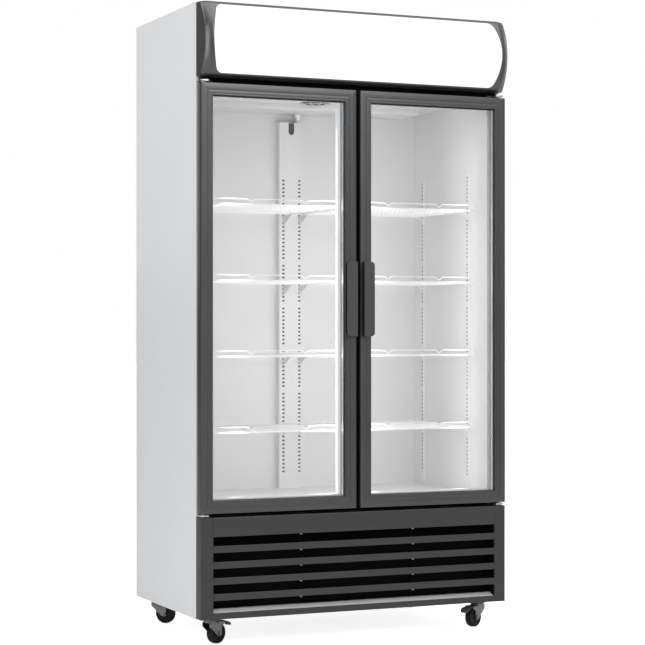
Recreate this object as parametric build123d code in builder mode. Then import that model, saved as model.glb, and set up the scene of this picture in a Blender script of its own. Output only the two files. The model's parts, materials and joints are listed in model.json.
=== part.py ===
from build123d import *
import math
import os

os.makedirs("parts", exist_ok=True)

# Two-door glass merchandiser, in millimetres.
# Origin: on the floor, below the middle of the whole object.
# +X to the viewer's right, -Y to the front, +Z up.

# Overall sizes
WIDTH = 1016.0
HEIGHT = 1905.0
HALF = WIDTH / 2
BACK_Y = 316.0
FRONT_Y = -237.0
DOOR_FACE_Y = -281.0
SIGN_BOW_Y = -316.0
BASE_Z = 82.0

# Walls of the insulated case
SKIN = 1.2
WALL = 40.0
INNER_X = HALF - WALL
INNER_BACK_Y = 271.0
FRAME_REAR_Y = -195.0
DECK_Z = 372.0
FLOOR_Z = 417.0
CEILING_Z = 1659.0
CHAMBER_TOP_Z = 1860.0
SILL_Z = 436.0
LINTEL_Z = 1620.0
BUTT_GAP = 0.2

# Doors
DOOR_GAP = 14.0
DOOR_X = DOOR_GAP / 2
DOOR_W = HALF - DOOR_X
DOOR_Z = 395.0
DOOR_TOP = 1663.0
DOOR_H = DOOR_TOP - DOOR_Z
DOOR_T = 35.0
RAIL_W = 36.0
HINGE_X = 494.0
HINGE_Y = -259.0
PIN_R = 4.0
PIN_CLEARANCE = 0.05
PIN_DEPTH = 22.0
PANE_T = 4.0
PANE_GAP = 12.0

# Sign
SIGN_Z = 1680.0
SIGN_EDGE_Y = -273.0
SIGN_WALL = 2.5
SIGN_CAP_X = 496.0
CAP_TAPER = 8.0

# Grille
GRILLE_Z = 84.0
GRILLE_TOP = 384.0
GRILLE_POST_X = 472.0
LOUVRE_PITCH = 46.9
LOUVRE_OPENING = 26.7
LOUVRE_TOP = 326.4
LOUVRE_COUNT = 5

# Shelves
SHELF_PITCH = 228.6
SHELF_TOP_1 = 630.2
SHELF_COUNT = 4
SHELF_IN_X = 14.8
SHELF_OUT_X = 444.4
SHELF_FRONT_Y = -200.0
SHELF_REAR_Y = 194.0
SHELF_T = 6.0
GUARD_H = 15.0
SLOT_PITCH = 12.7
CHANNEL_X = 42.5
CHANNEL_Y = 241.0
COLUMN_X = 28.3

# Casters
STEM_X = 450.0
STEM_FRONT_Y = -205.0
STEM_REAR_Y = 262.0
WHEEL_R = 31.75
WHEEL_W = 23.0
TRAIL = 24.0
AXLE_R = 4.0
CASTERS = {
    "front_left": (-STEM_X, STEM_FRONT_Y, 27.0),
    "front_right": (STEM_X, STEM_FRONT_Y, 209.0),
    "rear_left": (-STEM_X, STEM_REAR_Y, -44.0),
    "rear_right": (STEM_X, STEM_REAR_Y, -127.0),
}


def save(builder, name):
    """Label a finished piece and write it under its own name."""
    builder.part.label = name
    export_step(builder.part, f"parts/{name}.step")


def slab(x, y, z, mode=Mode.ADD):
    """A block between two limits on each axis, in the builder that is open."""
    with Locations((sum(x) / 2, sum(y) / 2, sum(z) / 2)):
        Box(x[1] - x[0], y[1] - y[0], z[1] - z[0], mode=mode)


def front_plane(y):
    """An upright drawing plane at depth y; extruding on it goes towards the front."""
    return Plane.XZ.offset(-y)


def both_sides():
    """Repeat everything in the open builder on the other side of the centre plane."""
    mirror(about=Plane.YZ)


# ---------------------------------------------------------------- outer case

with BuildPart() as side_panel_right:
    slab((HALF - SKIN, HALF), (FRONT_Y, BACK_Y - SKIN), (BASE_Z, HEIGHT))
    slab((HALF - 26, HALF), (BACK_Y - 2 * SKIN, BACK_Y - SKIN), (BASE_Z, HEIGHT))
save(side_panel_right, "side_panel_right")

with BuildPart() as side_panel_left:
    add(side_panel_right.part)
    mirror(about=Plane.YZ, mode=Mode.REPLACE)
save(side_panel_left, "side_panel_left")

COVER_HALF = 395.0
COVER_Z = (105.0, 355.0)
GLAND_X = 430.0
GLAND_Z = 140.0
GLAND_HOLE_R = 9.0
with BuildPart() as back_panel:
    slab((-HALF, HALF), (BACK_Y - SKIN, BACK_Y), (BASE_Z, HEIGHT))
    slab((-COVER_HALF, COVER_HALF), (BACK_Y - SKIN, BACK_Y), COVER_Z, mode=Mode.SUBTRACT)
    with Locations(Plane((GLAND_X, BACK_Y, GLAND_Z), z_dir=(0, 1, 0))):
        Hole(GLAND_HOLE_R)
save(back_panel, "back_panel")

with BuildPart() as top_panel:
    slab((-HALF + SKIN, HALF - SKIN), (FRONT_Y, BACK_Y - 2 * SKIN), (HEIGHT - SKIN, HEIGHT))
    slab((-HALF + SKIN, HALF - SKIN), (FRONT_Y, FRONT_Y + SKIN), (SIGN_Z - 4, HEIGHT))
save(top_panel, "top_panel")

foam_x = HALF - SKIN
foam_back = BACK_Y - 2 * SKIN
with BuildPart() as foam_insulation:
    slab((INNER_X + SKIN, foam_x), (FRAME_REAR_Y, INNER_BACK_Y + SKIN), (FLOOR_Z, HEIGHT - SKIN))
    both_sides()
    slab((-foam_x, foam_x), (INNER_BACK_Y + SKIN + BUTT_GAP, foam_back), (DECK_Z + SKIN, HEIGHT - SKIN))
    slab((-foam_x, foam_x), (FRAME_REAR_Y, INNER_BACK_Y + SKIN), (DECK_Z + SKIN, FLOOR_Z - SKIN))
    roof_x = INNER_X + SKIN - BUTT_GAP
    slab((-roof_x, roof_x), (FRAME_REAR_Y, INNER_BACK_Y + SKIN), (CHAMBER_TOP_Z, HEIGHT - SKIN))
    slab((-foam_x, foam_x), (FRONT_Y + SKIN, FRAME_REAR_Y - BUTT_GAP), (SIGN_Z, HEIGHT - SKIN))
save(foam_insulation, "foam_insulation")

# ---------------------------------------------------------------- cabinet interior

with BuildPart() as liner_walls:
    slab((INNER_X, INNER_X + SKIN), (FRAME_REAR_Y, INNER_BACK_Y), (FLOOR_Z, CHAMBER_TOP_Z))
    both_sides()
    slab((-INNER_X, INNER_X), (INNER_BACK_Y, INNER_BACK_Y + SKIN), (FLOOR_Z, CHAMBER_TOP_Z))
save(liner_walls, "liner_walls")

with BuildPart() as floor_panels:
    slab((-foam_x, foam_x), (FRAME_REAR_Y, INNER_BACK_Y + SKIN), (FLOOR_Z - SKIN, FLOOR_Z))
    slab((-foam_x, foam_x), (FRONT_Y + SKIN, foam_back), (DECK_Z, DECK_Z + SKIN))
save(floor_panels, "floor_panels")

FAN_Y = 46.0
FAN_HOLE_R = 52.0
DUCT_Y = (150.0, 250.0)
DUCT_HALF = 360.0
CEILING_T = 2.0
with BuildPart() as ceiling_panel:
    slab((-INNER_X, INNER_X), (FRAME_REAR_Y, INNER_BACK_Y), (CEILING_Z, CEILING_Z + CEILING_T))
    with BuildSketch(Plane.XY.offset(CEILING_Z)):
        with Locations((0, FAN_Y)):
            Circle(FAN_HOLE_R)
        with Locations((0, sum(DUCT_Y) / 2)):
            Rectangle(2 * DUCT_HALF, DUCT_Y[1] - DUCT_Y[0])
    extrude(amount=CEILING_T, mode=Mode.SUBTRACT)
save(ceiling_panel, "ceiling_panel")

TRAY_HALF = 400.0
TRAY_Y = (106.0, INNER_BACK_Y)
TRAY_Z = 1643.0
TRAY_WALL = 2.0
with BuildPart() as drip_tray:
    slab((-TRAY_HALF, TRAY_HALF), TRAY_Y, (TRAY_Z, CEILING_Z))
    hollow_x = (-TRAY_HALF + TRAY_WALL, TRAY_HALF - TRAY_WALL)
    hollow_y = (TRAY_Y[0] + TRAY_WALL, TRAY_Y[1] - TRAY_WALL)
    slab(hollow_x, hollow_y, (TRAY_Z + TRAY_WALL, CEILING_Z), mode=Mode.SUBTRACT)
save(drip_tray, "drip_tray")

JAMB_X = INNER_X - 2.0
with BuildPart() as opening_frame:
    slab((-foam_x, foam_x), (FRONT_Y, FRAME_REAR_Y), (LINTEL_Z, SIGN_Z - 4))
    slab((-foam_x, foam_x), (FRONT_Y, FRAME_REAR_Y), (DECK_Z + SKIN, SILL_Z))
    slab((JAMB_X, foam_x), (FRONT_Y, FRAME_REAR_Y), (SILL_Z + BUTT_GAP, LINTEL_Z - BUTT_GAP))
    both_sides()
save(opening_frame, "opening_frame")

MULLION_HALF = 25.0
MULLION_T = 3.0
MULLION_REAR_Y = -200.0
with BuildPart() as centre_mullion:
    slab((-MULLION_HALF, MULLION_HALF), (FRONT_Y, MULLION_REAR_Y), (SILL_Z, LINTEL_Z))
    hollow_half = MULLION_HALF - MULLION_T
    hollow_y = (FRONT_Y + MULLION_T, MULLION_REAR_Y)
    slab((-hollow_half, hollow_half), hollow_y, (SILL_Z, LINTEL_Z), mode=Mode.SUBTRACT)
save(centre_mullion, "centre_mullion")

LAMP_X = (MULLION_HALF, 42.0)
LAMP_Y = (-214.0, MULLION_REAR_Y)
LAMP_Z = (442.0, 1612.0)
with BuildPart() as mullion_lamps:
    slab(LAMP_X, LAMP_Y, LAMP_Z)
    fillet(mullion_lamps.edges().filter_by(Axis.Z).sort_by(Axis.X)[-2:], 4)
    both_sides()
save(mullion_lamps, "mullion_lamps")


def slot_rows(low, high, skip_every):
    """Heights of the shelf slots from low to high, with one left out after each group."""
    count = int((high - low) / SLOT_PITCH) + 1
    return [low + i * SLOT_PITCH for i in range(count) if i % skip_every != skip_every - 1]


SLOT_W = 8.0
SLOT_H = 5.0
SLOT_LOW = 471.4
SLOT_HIGH = 1424.0
SLOT_GROUP = 11
CHANNEL_TOP = 1615.0
CHANNEL_T = 1.5
CABLE_SLOT_R = 10.0
CABLE_SLOT_Z = 1574.0
with BuildPart() as shelf_channel:
    slab((-CHANNEL_X, CHANNEL_X), (CHANNEL_Y, INNER_BACK_Y), (FLOOR_Z, CHANNEL_TOP))
    inside = CHANNEL_X - CHANNEL_T
    slab((-inside, inside), (CHANNEL_Y + CHANNEL_T, INNER_BACK_Y), (FLOOR_Z, CHANNEL_TOP), mode=Mode.SUBTRACT)
    rows = slot_rows(SLOT_LOW, SLOT_HIGH, SLOT_GROUP)
    with BuildSketch(front_plane(CHANNEL_Y + CHANNEL_T)):
        with Locations([(side * COLUMN_X, z) for z in rows for side in (-1, 1)]):
            Rectangle(SLOT_W, SLOT_H)
        with Locations((0, CABLE_SLOT_Z + CABLE_SLOT_R)):
            Circle(CABLE_SLOT_R)
        with Locations((0, (CABLE_SLOT_Z + CABLE_SLOT_R + CHANNEL_TOP) / 2)):
            Rectangle(2 * CABLE_SLOT_R, CHANNEL_TOP - CABLE_SLOT_Z - CABLE_SLOT_R)
    extrude(amount=CHANNEL_T, mode=Mode.SUBTRACT)
save(shelf_channel, "shelf_channel")

PILASTER_YS = (-114.0, 204.0)
PILASTER_W = 18.0
PILASTER_D = 7.0
PILASTER_Z = (425.0, 1436.0)
with BuildPart() as shelf_pilasters:
    for y in PILASTER_YS:
        slab((INNER_X - PILASTER_D, INNER_X), (y - PILASTER_W / 2, y + PILASTER_W / 2), PILASTER_Z)
        inner_w = PILASTER_W / 2 - CHANNEL_T
        hollow_x = (INNER_X - PILASTER_D + CHANNEL_T, INNER_X)
        slab(hollow_x, (y - inner_w, y + inner_w), PILASTER_Z, mode=Mode.SUBTRACT)
    with BuildSketch(Plane.YZ.offset(INNER_X - PILASTER_D)):
        with Locations([(y, z) for z in slot_rows(SLOT_LOW, SLOT_HIGH, SLOT_GROUP) for y in PILASTER_YS]):
            Rectangle(SLOT_W, SLOT_H)
    extrude(amount=CHANNEL_T, mode=Mode.SUBTRACT)
    both_sides()
save(shelf_pilasters, "shelf_pilasters")

# ---------------------------------------------------------------- shelves

SHELF_X = (SHELF_IN_X + SHELF_OUT_X) / 2
SHELF_W = SHELF_OUT_X - SHELF_IN_X
SHELF_D = SHELF_REAR_Y - SHELF_FRONT_Y
SHELF_Y = (SHELF_REAR_Y + SHELF_FRONT_Y) / 2
BORDER = 6.0
ROD = 3.0
ROD_COUNT = 20
BRACE_COUNT = 4
GUARD_INSET = 9.0
GUARD_T = 3.0
NOTCHES = (140.0, 317.0)
NOTCH_HALF = 12.0
cell_w = (SHELF_W - 2 * BORDER + ROD) / ROD_COUNT
cell_d = (SHELF_D - 2 * BORDER + ROD) / BRACE_COUNT
with BuildPart() as shelf_pair:
    with BuildSketch(Plane.XY.offset(-SHELF_T)):
        with Locations((SHELF_X, SHELF_Y)):
            Rectangle(SHELF_W, SHELF_D)
            with GridLocations(cell_w, cell_d, ROD_COUNT, BRACE_COUNT):
                Rectangle(cell_w - ROD, cell_d - ROD, mode=Mode.SUBTRACT)
    extrude(amount=SHELF_T)
    with BuildSketch(front_plane(SHELF_FRONT_Y + GUARD_T)):
        with BuildLine():
            left = SHELF_IN_X + GUARD_INSET
            right = SHELF_OUT_X - GUARD_INSET
            guard = [(left, 0), (left, GUARD_H)]
            for x in NOTCHES:
                guard += [(x - NOTCH_HALF, GUARD_H), (x, GUARD_T), (x + NOTCH_HALF, GUARD_H)]
            guard += [(right, GUARD_H), (right, 0)]
            Polyline(guard, close=True)
        make_face()
    extrude(amount=GUARD_T)
    both_sides()

for level in range(SHELF_COUNT):
    with BuildPart() as shelf:
        with Locations((0, 0, SHELF_TOP_1 + level * SHELF_PITCH)):
            add(shelf_pair.part)
    save(shelf, f"shelf_level_{level + 1}")

CLIP_H = 15.0
BRACKET_H = 34.0
with BuildPart() as shelf_clips:
    for level in range(SHELF_COUNT):
        under = SHELF_TOP_1 + level * SHELF_PITCH - SHELF_T
        for y in PILASTER_YS:
            with BuildSketch(Plane.XZ.offset(-y - 3)):
                with BuildLine():
                    wall = INNER_X - PILASTER_D
                    Polyline((wall, under), (wall - 22, under), (wall, under - CLIP_H), close=True)
                make_face()
            extrude(amount=6)
        with BuildSketch(Plane.YZ.offset(COLUMN_X - 1.5)):
            with BuildLine():
                tip = (SHELF_REAR_Y - 25, under)
                Polyline((CHANNEL_Y, under), tip, (CHANNEL_Y, under - BRACKET_H), close=True)
            make_face()
        extrude(amount=3)
    both_sides()
save(shelf_clips, "shelf_clips")

# ---------------------------------------------------------------- cold air unit above the ceiling

COIL_HALF = 330.0
COIL_Y = (128.0, 258.0)
COIL_Z = (1668.0, 1790.0)
FIN_COUNT = 34
FIN_T = 3.0


def finned_coil(middle_x, half, y, z, count, fin):
    """A stack of upright fins across X, joined by the tube rows that run through it."""
    gap = (2 * half - count * fin) / (count - 1)
    rows = 4
    row_h = (z[1] - z[0]) / rows
    with BuildPart() as coil:
        with BuildSketch(front_plane(y[1])):
            with Locations((middle_x, sum(z) / 2)):
                Rectangle(2 * half, z[1] - z[0])
                with GridLocations(gap + fin, row_h, count - 1, rows):
                    Rectangle(gap, row_h - 8, mode=Mode.SUBTRACT)
        extrude(amount=y[1] - y[0])
    return coil


evaporator_coil = finned_coil(0, COIL_HALF, COIL_Y, COIL_Z, FIN_COUNT, FIN_T)
save(evaporator_coil, "evaporator_coil")

GUARD_R = 54.0
GUARD_DROP = 15.0
GUARD_WIRE = 3.0
GUARD_DOME_R = (GUARD_R**2 + GUARD_DROP**2) / (2 * GUARD_DROP)
MOTOR_Z = (1702.0, 1740.0)
with BuildPart() as fan_guard:
    with BuildSketch(Plane.XZ.offset(-FAN_Y)):
        with BuildLine():
            top = CEILING_Z
            mid = GUARD_R * 0.55
            sag = math.sqrt(GUARD_DOME_R**2 - mid**2) - (GUARD_DOME_R - GUARD_DROP)
            ThreePointArc((GUARD_R, top), (mid, top - sag), (0, top - GUARD_DROP))
            Line((0, top - GUARD_DROP), (0, top - GUARD_DROP + GUARD_WIRE))
            crown = (0, top - GUARD_DROP + GUARD_WIRE)
            ThreePointArc(crown, (mid, top - sag + GUARD_WIRE), (GUARD_R - 6, top))
            Line((GUARD_R - 6, top), (GUARD_R, top))
        make_face()
    revolve(axis=Axis((0, FAN_Y, 0), (0, 0, 1)))
    with BuildSketch(Plane.XY.offset(CEILING_Z - GUARD_DROP - 1)):
        with Locations((0, FAN_Y)):
            for ring in (14.0, 24.0, 34.0):
                Circle(ring + 6)
                Circle(ring, mode=Mode.SUBTRACT)
            for turn in (0, 45, 90, 135):
                Rectangle(2 * GUARD_R, 4, rotation=turn, mode=Mode.SUBTRACT)
    extrude(amount=GUARD_DROP, mode=Mode.SUBTRACT)
    with Locations((0, FAN_Y, sum(MOTOR_Z) / 2)):
        Cylinder(24, MOTOR_Z[1] - MOTOR_Z[0])
    leg_z = CEILING_Z + CEILING_T
    for side in (-1, 1):
        foot = side * (FAN_HOLE_R + 10)
        slab((min(foot, 0), max(foot, 0)), (FAN_Y - 6, FAN_Y + 6), (MOTOR_Z[1], MOTOR_Z[1] + 3))
        slab((foot - 3, foot + 3), (FAN_Y - 6, FAN_Y + 6), (leg_z, MOTOR_Z[1] + 3))
save(fan_guard, "fan_guard")


FAN_BLADES = 5


def fan_rotor(origin, axis, radius, height, hub_r):
    """A hub with flat pitched blades; the axis points along the shaft."""
    base = Plane(origin=origin, z_dir=axis)
    with BuildPart() as rotor:
        with BuildSketch(base):
            Circle(hub_r)
        extrude(amount=height)
        middle = base.offset(height / 2)
        for i in range(FAN_BLADES):
            turn = 2 * math.pi * i / FAN_BLADES
            out = middle.x_dir * math.cos(turn) + middle.y_dir * math.sin(turn)
            root = Plane(origin=middle.origin + out * (hub_r - 2), x_dir=middle.z_dir, z_dir=out)
            with BuildSketch(root):
                Rectangle(2, 1.4 * hub_r, rotation=35)
            extrude(amount=radius - hub_r + 2)
    return rotor


evaporator_fan = fan_rotor((0, FAN_Y, CEILING_Z + 14), (0, 0, 1), 46.0, 24.0, 16.0)
save(evaporator_fan, "evaporator_fan")

ELBOW_X = 35.0
ELBOW_Y = 250.0
ELBOW_R = 8.0
with BuildPart() as drain_elbow:
    with BuildLine() as elbow_path:
        turn_z = TRAY_Z - 18
        elbow_turn = (ELBOW_X, ELBOW_Y, turn_z)
        FilletPolyline((ELBOW_X, ELBOW_Y, TRAY_Z), elbow_turn, (ELBOW_X, INNER_BACK_Y, turn_z), radius=10)
    with BuildSketch(Plane(origin=(ELBOW_X, ELBOW_Y, TRAY_Z), z_dir=(0, 0, -1))):
        Circle(ELBOW_R)
        Circle(ELBOW_R - 2, mode=Mode.SUBTRACT)
    sweep(path=elbow_path.wires()[0])
save(drain_elbow, "drain_elbow")

# ---------------------------------------------------------------- sign

SIGN_MID = (SIGN_Z + HEIGHT) / 2
WINDOW_MID_HALF = 480.0
WINDOW_CORNER_HALF = 458.0
WINDOW_R = 14.0
WINDOW_Z = (SIGN_Z + 12, HEIGHT - 10)
FACE_T = 3.0


def sign_outline(inset, front_inset):
    """The sign's cross-section: flat back and ends, front bowed out, drawn in by the insets."""
    low = SIGN_Z + inset
    high = HEIGHT - inset
    edge = SIGN_EDGE_Y + front_inset - inset
    with BuildLine() as outline:
        ThreePointArc((edge, low), (SIGN_BOW_Y + front_inset, SIGN_MID), (edge, high))
        Polyline((edge, high), (FRONT_Y, high), (FRONT_Y, low), (edge, low))
    return outline.line


with BuildPart() as sign_housing:
    with BuildSketch(Plane.YZ.offset(-SIGN_CAP_X)):
        make_face(sign_outline(0, 0))
        make_face(sign_outline(SIGN_WALL, SIGN_WALL), mode=Mode.SUBTRACT)
    extrude(amount=2 * SIGN_CAP_X)
    slab((-SIGN_CAP_X, SIGN_CAP_X), (FRONT_Y - SIGN_WALL, FRONT_Y), (SIGN_Z, HEIGHT))
    with BuildSketch(front_plane(SIGN_EDGE_Y + 10)) as window:
        with BuildLine():
            low, high = WINDOW_Z
            for z in WINDOW_Z:
                Line((-WINDOW_CORNER_HALF, z), (WINDOW_CORNER_HALF, z))
            for side in (-1, 1):
                ThreePointArc(
                    (side * WINDOW_CORNER_HALF, low),
                    (side * WINDOW_MID_HALF, SIGN_MID),
                    (side * WINDOW_CORNER_HALF, high),
                )
        make_face()
        fillet(window.vertices(), WINDOW_R)
    extrude(amount=60, mode=Mode.SUBTRACT)
save(sign_housing, "sign_housing")

with BuildPart() as sign_end_caps:
    with BuildSketch(Plane.YZ.offset(SIGN_CAP_X)):
        make_face(sign_outline(0, 0))
    extrude(amount=HALF - SIGN_CAP_X)
    outwards = (FRONT_Y - SIGN_BOW_Y, -CAP_TAPER, 0)
    taper_side = Plane(origin=(HALF, FRONT_Y, SIGN_MID), x_dir=(0, 0, 1), z_dir=outwards)
    split(bisect_by=taper_side, keep=Keep.BOTTOM)
    both_sides()
save(sign_end_caps, "sign_end_caps")

with BuildPart() as sign_face:
    with BuildSketch(Plane.YZ.offset(-SIGN_CAP_X + 1)):
        make_face(sign_outline(SIGN_WALL, SIGN_WALL))
        make_face(sign_outline(SIGN_WALL, SIGN_WALL + FACE_T), mode=Mode.SUBTRACT)
    extrude(amount=2 * SIGN_CAP_X - 2)
save(sign_face, "sign_face")

SIGN_TUBE_R = 8.0
SIGN_TUBE_HALF = 455.0
with BuildPart() as sign_lamps:
    for z in (SIGN_Z + 65, HEIGHT - 65):
        with BuildSketch(Plane.YZ.offset(-SIGN_TUBE_HALF)):
            with Locations((-262, z)):
                Circle(SIGN_TUBE_R)
        extrude(amount=2 * SIGN_TUBE_HALF)
        slab((-SIGN_TUBE_HALF, SIGN_TUBE_HALF), (-262, FRONT_Y - SIGN_WALL), (z - 6, z + 6))
save(sign_lamps, "sign_lamps")

# ---------------------------------------------------------------- base with the cooling machine

TRAY_T = 2.0
TRAY_LIP = 26.0
tray_x = HALF - SKIN
tray_back = BACK_Y - 2 * SKIN
with BuildPart() as base_tray:
    slab((-tray_x, tray_x), (FRONT_Y, tray_back), (BASE_Z, BASE_Z + TRAY_LIP))
    inner = tray_x - TRAY_T
    hollow_y = (FRONT_Y + TRAY_T, tray_back - TRAY_T)
    slab((-inner, inner), hollow_y, (BASE_Z + TRAY_T, BASE_Z + TRAY_LIP), mode=Mode.SUBTRACT)
    for x in (-300.0, 0.0, 300.0):
        slab((x - 15, x + 15), (FRONT_Y + 60, tray_back - 60), (BASE_Z + TRAY_T, BASE_Z + 8))
save(base_tray, "base_tray")

BASE_FLOOR = BASE_Z + 8
COMPRESSOR_X = -290.0
COMPRESSOR_Y = 150.0
with BuildPart() as compressor:
    with Locations((COMPRESSOR_X, COMPRESSOR_Y, BASE_FLOOR + 12)):
        Box(200, 120, 4)
    with Locations((COMPRESSOR_X, COMPRESSOR_Y, BASE_FLOOR + 104)):
        Cylinder(72, 180)
    fillet(compressor.edges().filter_by(GeomType.CIRCLE).sort_by(Axis.Z)[-1], 40)
    for dx in (-85, 85):
        for dy in (-45, 45):
            with Locations((COMPRESSOR_X + dx, COMPRESSOR_Y + dy, BASE_FLOOR + 5)):
                Cylinder(10, 10)
    slab((COMPRESSOR_X + 60, COMPRESSOR_X + 110), (COMPRESSOR_Y - 30, COMPRESSOR_Y + 30), (170, 230))
save(compressor, "compressor")

CONDENSER_HALF = 160.0
CONDENSER_Y = (-205.0, -150.0)
CONDENSER_Z = (96.0, 350.0)
CONDENSER_X = 60.0
condenser_coil = finned_coil(CONDENSER_X, CONDENSER_HALF, CONDENSER_Y, CONDENSER_Z, 22, 3.0)
save(condenser_coil, "condenser_coil")

SHROUD_FRONT_Y = CONDENSER_Y[1]
SHROUD_D = 45.0
SHROUD_T = 2.0
MOTOR_REACH = 40.0
MOTOR_R = 35.0
MOTOR_L = 36.0
STRAP_T = 3.0
SHROUD_Z = (90.0, 356.0)
FAN_Z = sum(SHROUD_Z) / 2
CONDENSER_FAN_R = 105.0
with BuildPart() as condenser_shroud:
    shroud_x = (CONDENSER_X - CONDENSER_HALF, CONDENSER_X + CONDENSER_HALF)
    shroud_y = (SHROUD_FRONT_Y, SHROUD_FRONT_Y + SHROUD_D)
    slab(shroud_x, shroud_y, SHROUD_Z)
    hollow_x = (shroud_x[0] + SHROUD_T, shroud_x[1] - SHROUD_T)
    hollow_z = (SHROUD_Z[0] + SHROUD_T, SHROUD_Z[1] - SHROUD_T)
    slab(hollow_x, (shroud_y[0], shroud_y[1] - SHROUD_T), hollow_z, mode=Mode.SUBTRACT)
    with BuildSketch(front_plane(shroud_y[1])):
        with Locations((CONDENSER_X, FAN_Z)):
            Circle(CONDENSER_FAN_R + 7)
    extrude(amount=SHROUD_T, mode=Mode.SUBTRACT)
    motor_back = shroud_y[1] + MOTOR_REACH
    with BuildSketch(front_plane(motor_back)):
        with Locations((CONDENSER_X, FAN_Z)):
            Circle(MOTOR_R)
    extrude(amount=MOTOR_L)
    strap_x = (CONDENSER_X - 5, CONDENSER_X + 5)
    slab(strap_x, (motor_back, motor_back + STRAP_T), SHROUD_Z)
    slab(strap_x, (shroud_y[1], motor_back + STRAP_T), (SHROUD_Z[0], SHROUD_Z[0] + STRAP_T))
    slab(strap_x, (shroud_y[1], motor_back + STRAP_T), (SHROUD_Z[1] - STRAP_T, SHROUD_Z[1]))
save(condenser_shroud, "condenser_shroud")

condenser_hub = (CONDENSER_X, SHROUD_FRONT_Y + SHROUD_D + 2, FAN_Z)
condenser_fan = fan_rotor(condenser_hub, (0, -1, 0), CONDENSER_FAN_R, 26.0, 28.0)
save(condenser_fan, "condenser_fan")

FILTER_Y = (-215.0, -209.0)
with BuildPart() as condenser_filter:
    slab((-INNER_X, INNER_X), FILTER_Y, (BASE_Z + TRAY_LIP, DECK_Z))
save(condenser_filter, "condenser_filter")

BOX_X = (300.0, 440.0)
BOX_Y = (20.0, 200.0)
BOX_Z = (BASE_FLOOR, 230.0)
BOX_T = 2.0
KNOB_R = 9.0
KNOB_Z = 190.0
with BuildPart() as control_box:
    slab(BOX_X, BOX_Y, BOX_Z)
    slab(*[(low + BOX_T, high - BOX_T) for low, high in (BOX_X, BOX_Y, BOX_Z)], mode=Mode.SUBTRACT)
    with BuildSketch(front_plane(BOX_Y[0])):
        with Locations((sum(BOX_X) / 2, KNOB_Z)):
            Circle(KNOB_R)
    extrude(amount=12)
save(control_box, "control_box")

COVER_GAP = 1.0
with BuildPart() as rear_cover:
    cover = COVER_HALF - COVER_GAP
    slab((-cover, cover), (BACK_Y - SKIN, BACK_Y), (COVER_Z[0] + COVER_GAP, COVER_Z[1] - COVER_GAP))
    slab((-cover - 8, cover + 8), (BACK_Y - 2 * SKIN, BACK_Y - SKIN), (COVER_Z[0] + 6, COVER_Z[1] + 8))
    with BuildSketch(front_plane(BACK_Y)):
        with Locations((0, sum(COVER_Z) / 2)):
            with GridLocations(88, 16, 8, 12):
                SlotOverall(72, 6)
    extrude(amount=2 * SKIN, mode=Mode.SUBTRACT)
save(rear_cover, "rear_cover")

with BuildPart() as cord_gland:
    with BuildSketch(front_plane(BACK_Y)):
        with Locations((GLAND_X, GLAND_Z)):
            Circle(GLAND_HOLE_R)
            Circle(4.5, mode=Mode.SUBTRACT)
    extrude(amount=10)
    with BuildSketch(front_plane(BACK_Y - SKIN)):
        with Locations((GLAND_X, GLAND_Z)):
            Circle(13)
            Circle(4.5, mode=Mode.SUBTRACT)
    extrude(amount=4)
save(cord_gland, "cord_gland")

# ---------------------------------------------------------------- front grille

LEDGE_Z = 102.8
LEDGE_REAR_Z = 110.0
LEDGE_REAR_Y = -249.0
GRILLE_T = 3.0
GRILLE_INNER_Y = DOOR_FACE_Y + 6
RIB_X = 187.0
with BuildPart() as grille_panel:
    grille_y = (DOOR_FACE_Y, FRONT_Y)
    slab((-HALF, HALF), grille_y, (GRILLE_Z, GRILLE_TOP))
    slab(
        (-HALF + GRILLE_T, HALF - GRILLE_T),
        (GRILLE_INNER_Y, FRONT_Y),
        (GRILLE_Z + GRILLE_T, GRILLE_TOP - GRILLE_T),
        mode=Mode.SUBTRACT,
    )
    opening_x = GRILLE_POST_X - 2
    for row in range(LOUVRE_COUNT):
        high = LOUVRE_TOP - row * LOUVRE_PITCH
        low = high - LOUVRE_OPENING if row < LOUVRE_COUNT - 1 else LEDGE_Z
        slab((-opening_x, opening_x), (DOOR_FACE_Y, GRILLE_INNER_Y), (low, high), mode=Mode.SUBTRACT)
    for x in (-RIB_X, RIB_X):
        slab((x - 2, x + 2), (GRILLE_INNER_Y, GRILLE_INNER_Y + 23), (GRILLE_Z + GRILLE_T, LOUVRE_TOP + 8))
    with BuildSketch(Plane.YZ.offset(-GRILLE_POST_X)):
        with BuildLine():
            Polyline(
                (GRILLE_INNER_Y, LEDGE_Z),
                (LEDGE_REAR_Y, LEDGE_REAR_Z),
                (LEDGE_REAR_Y, GRILLE_Z + GRILLE_T),
                (GRILLE_INNER_Y, GRILLE_Z + GRILLE_T),
                close=True,
            )
        make_face()
    extrude(amount=2 * GRILLE_POST_X)
    with BuildSketch(front_plane(DOOR_FACE_Y + 1)):
        grille_mid = (GRILLE_Z + GRILLE_TOP) / 2
        with Locations((-GRILLE_POST_X, grille_mid), (GRILLE_POST_X, grille_mid)):
            Rectangle(1.2, GRILLE_TOP - GRILLE_Z)
    extrude(amount=1, mode=Mode.SUBTRACT)
save(grille_panel, "grille_panel")

# ---------------------------------------------------------------- hinges

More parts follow.
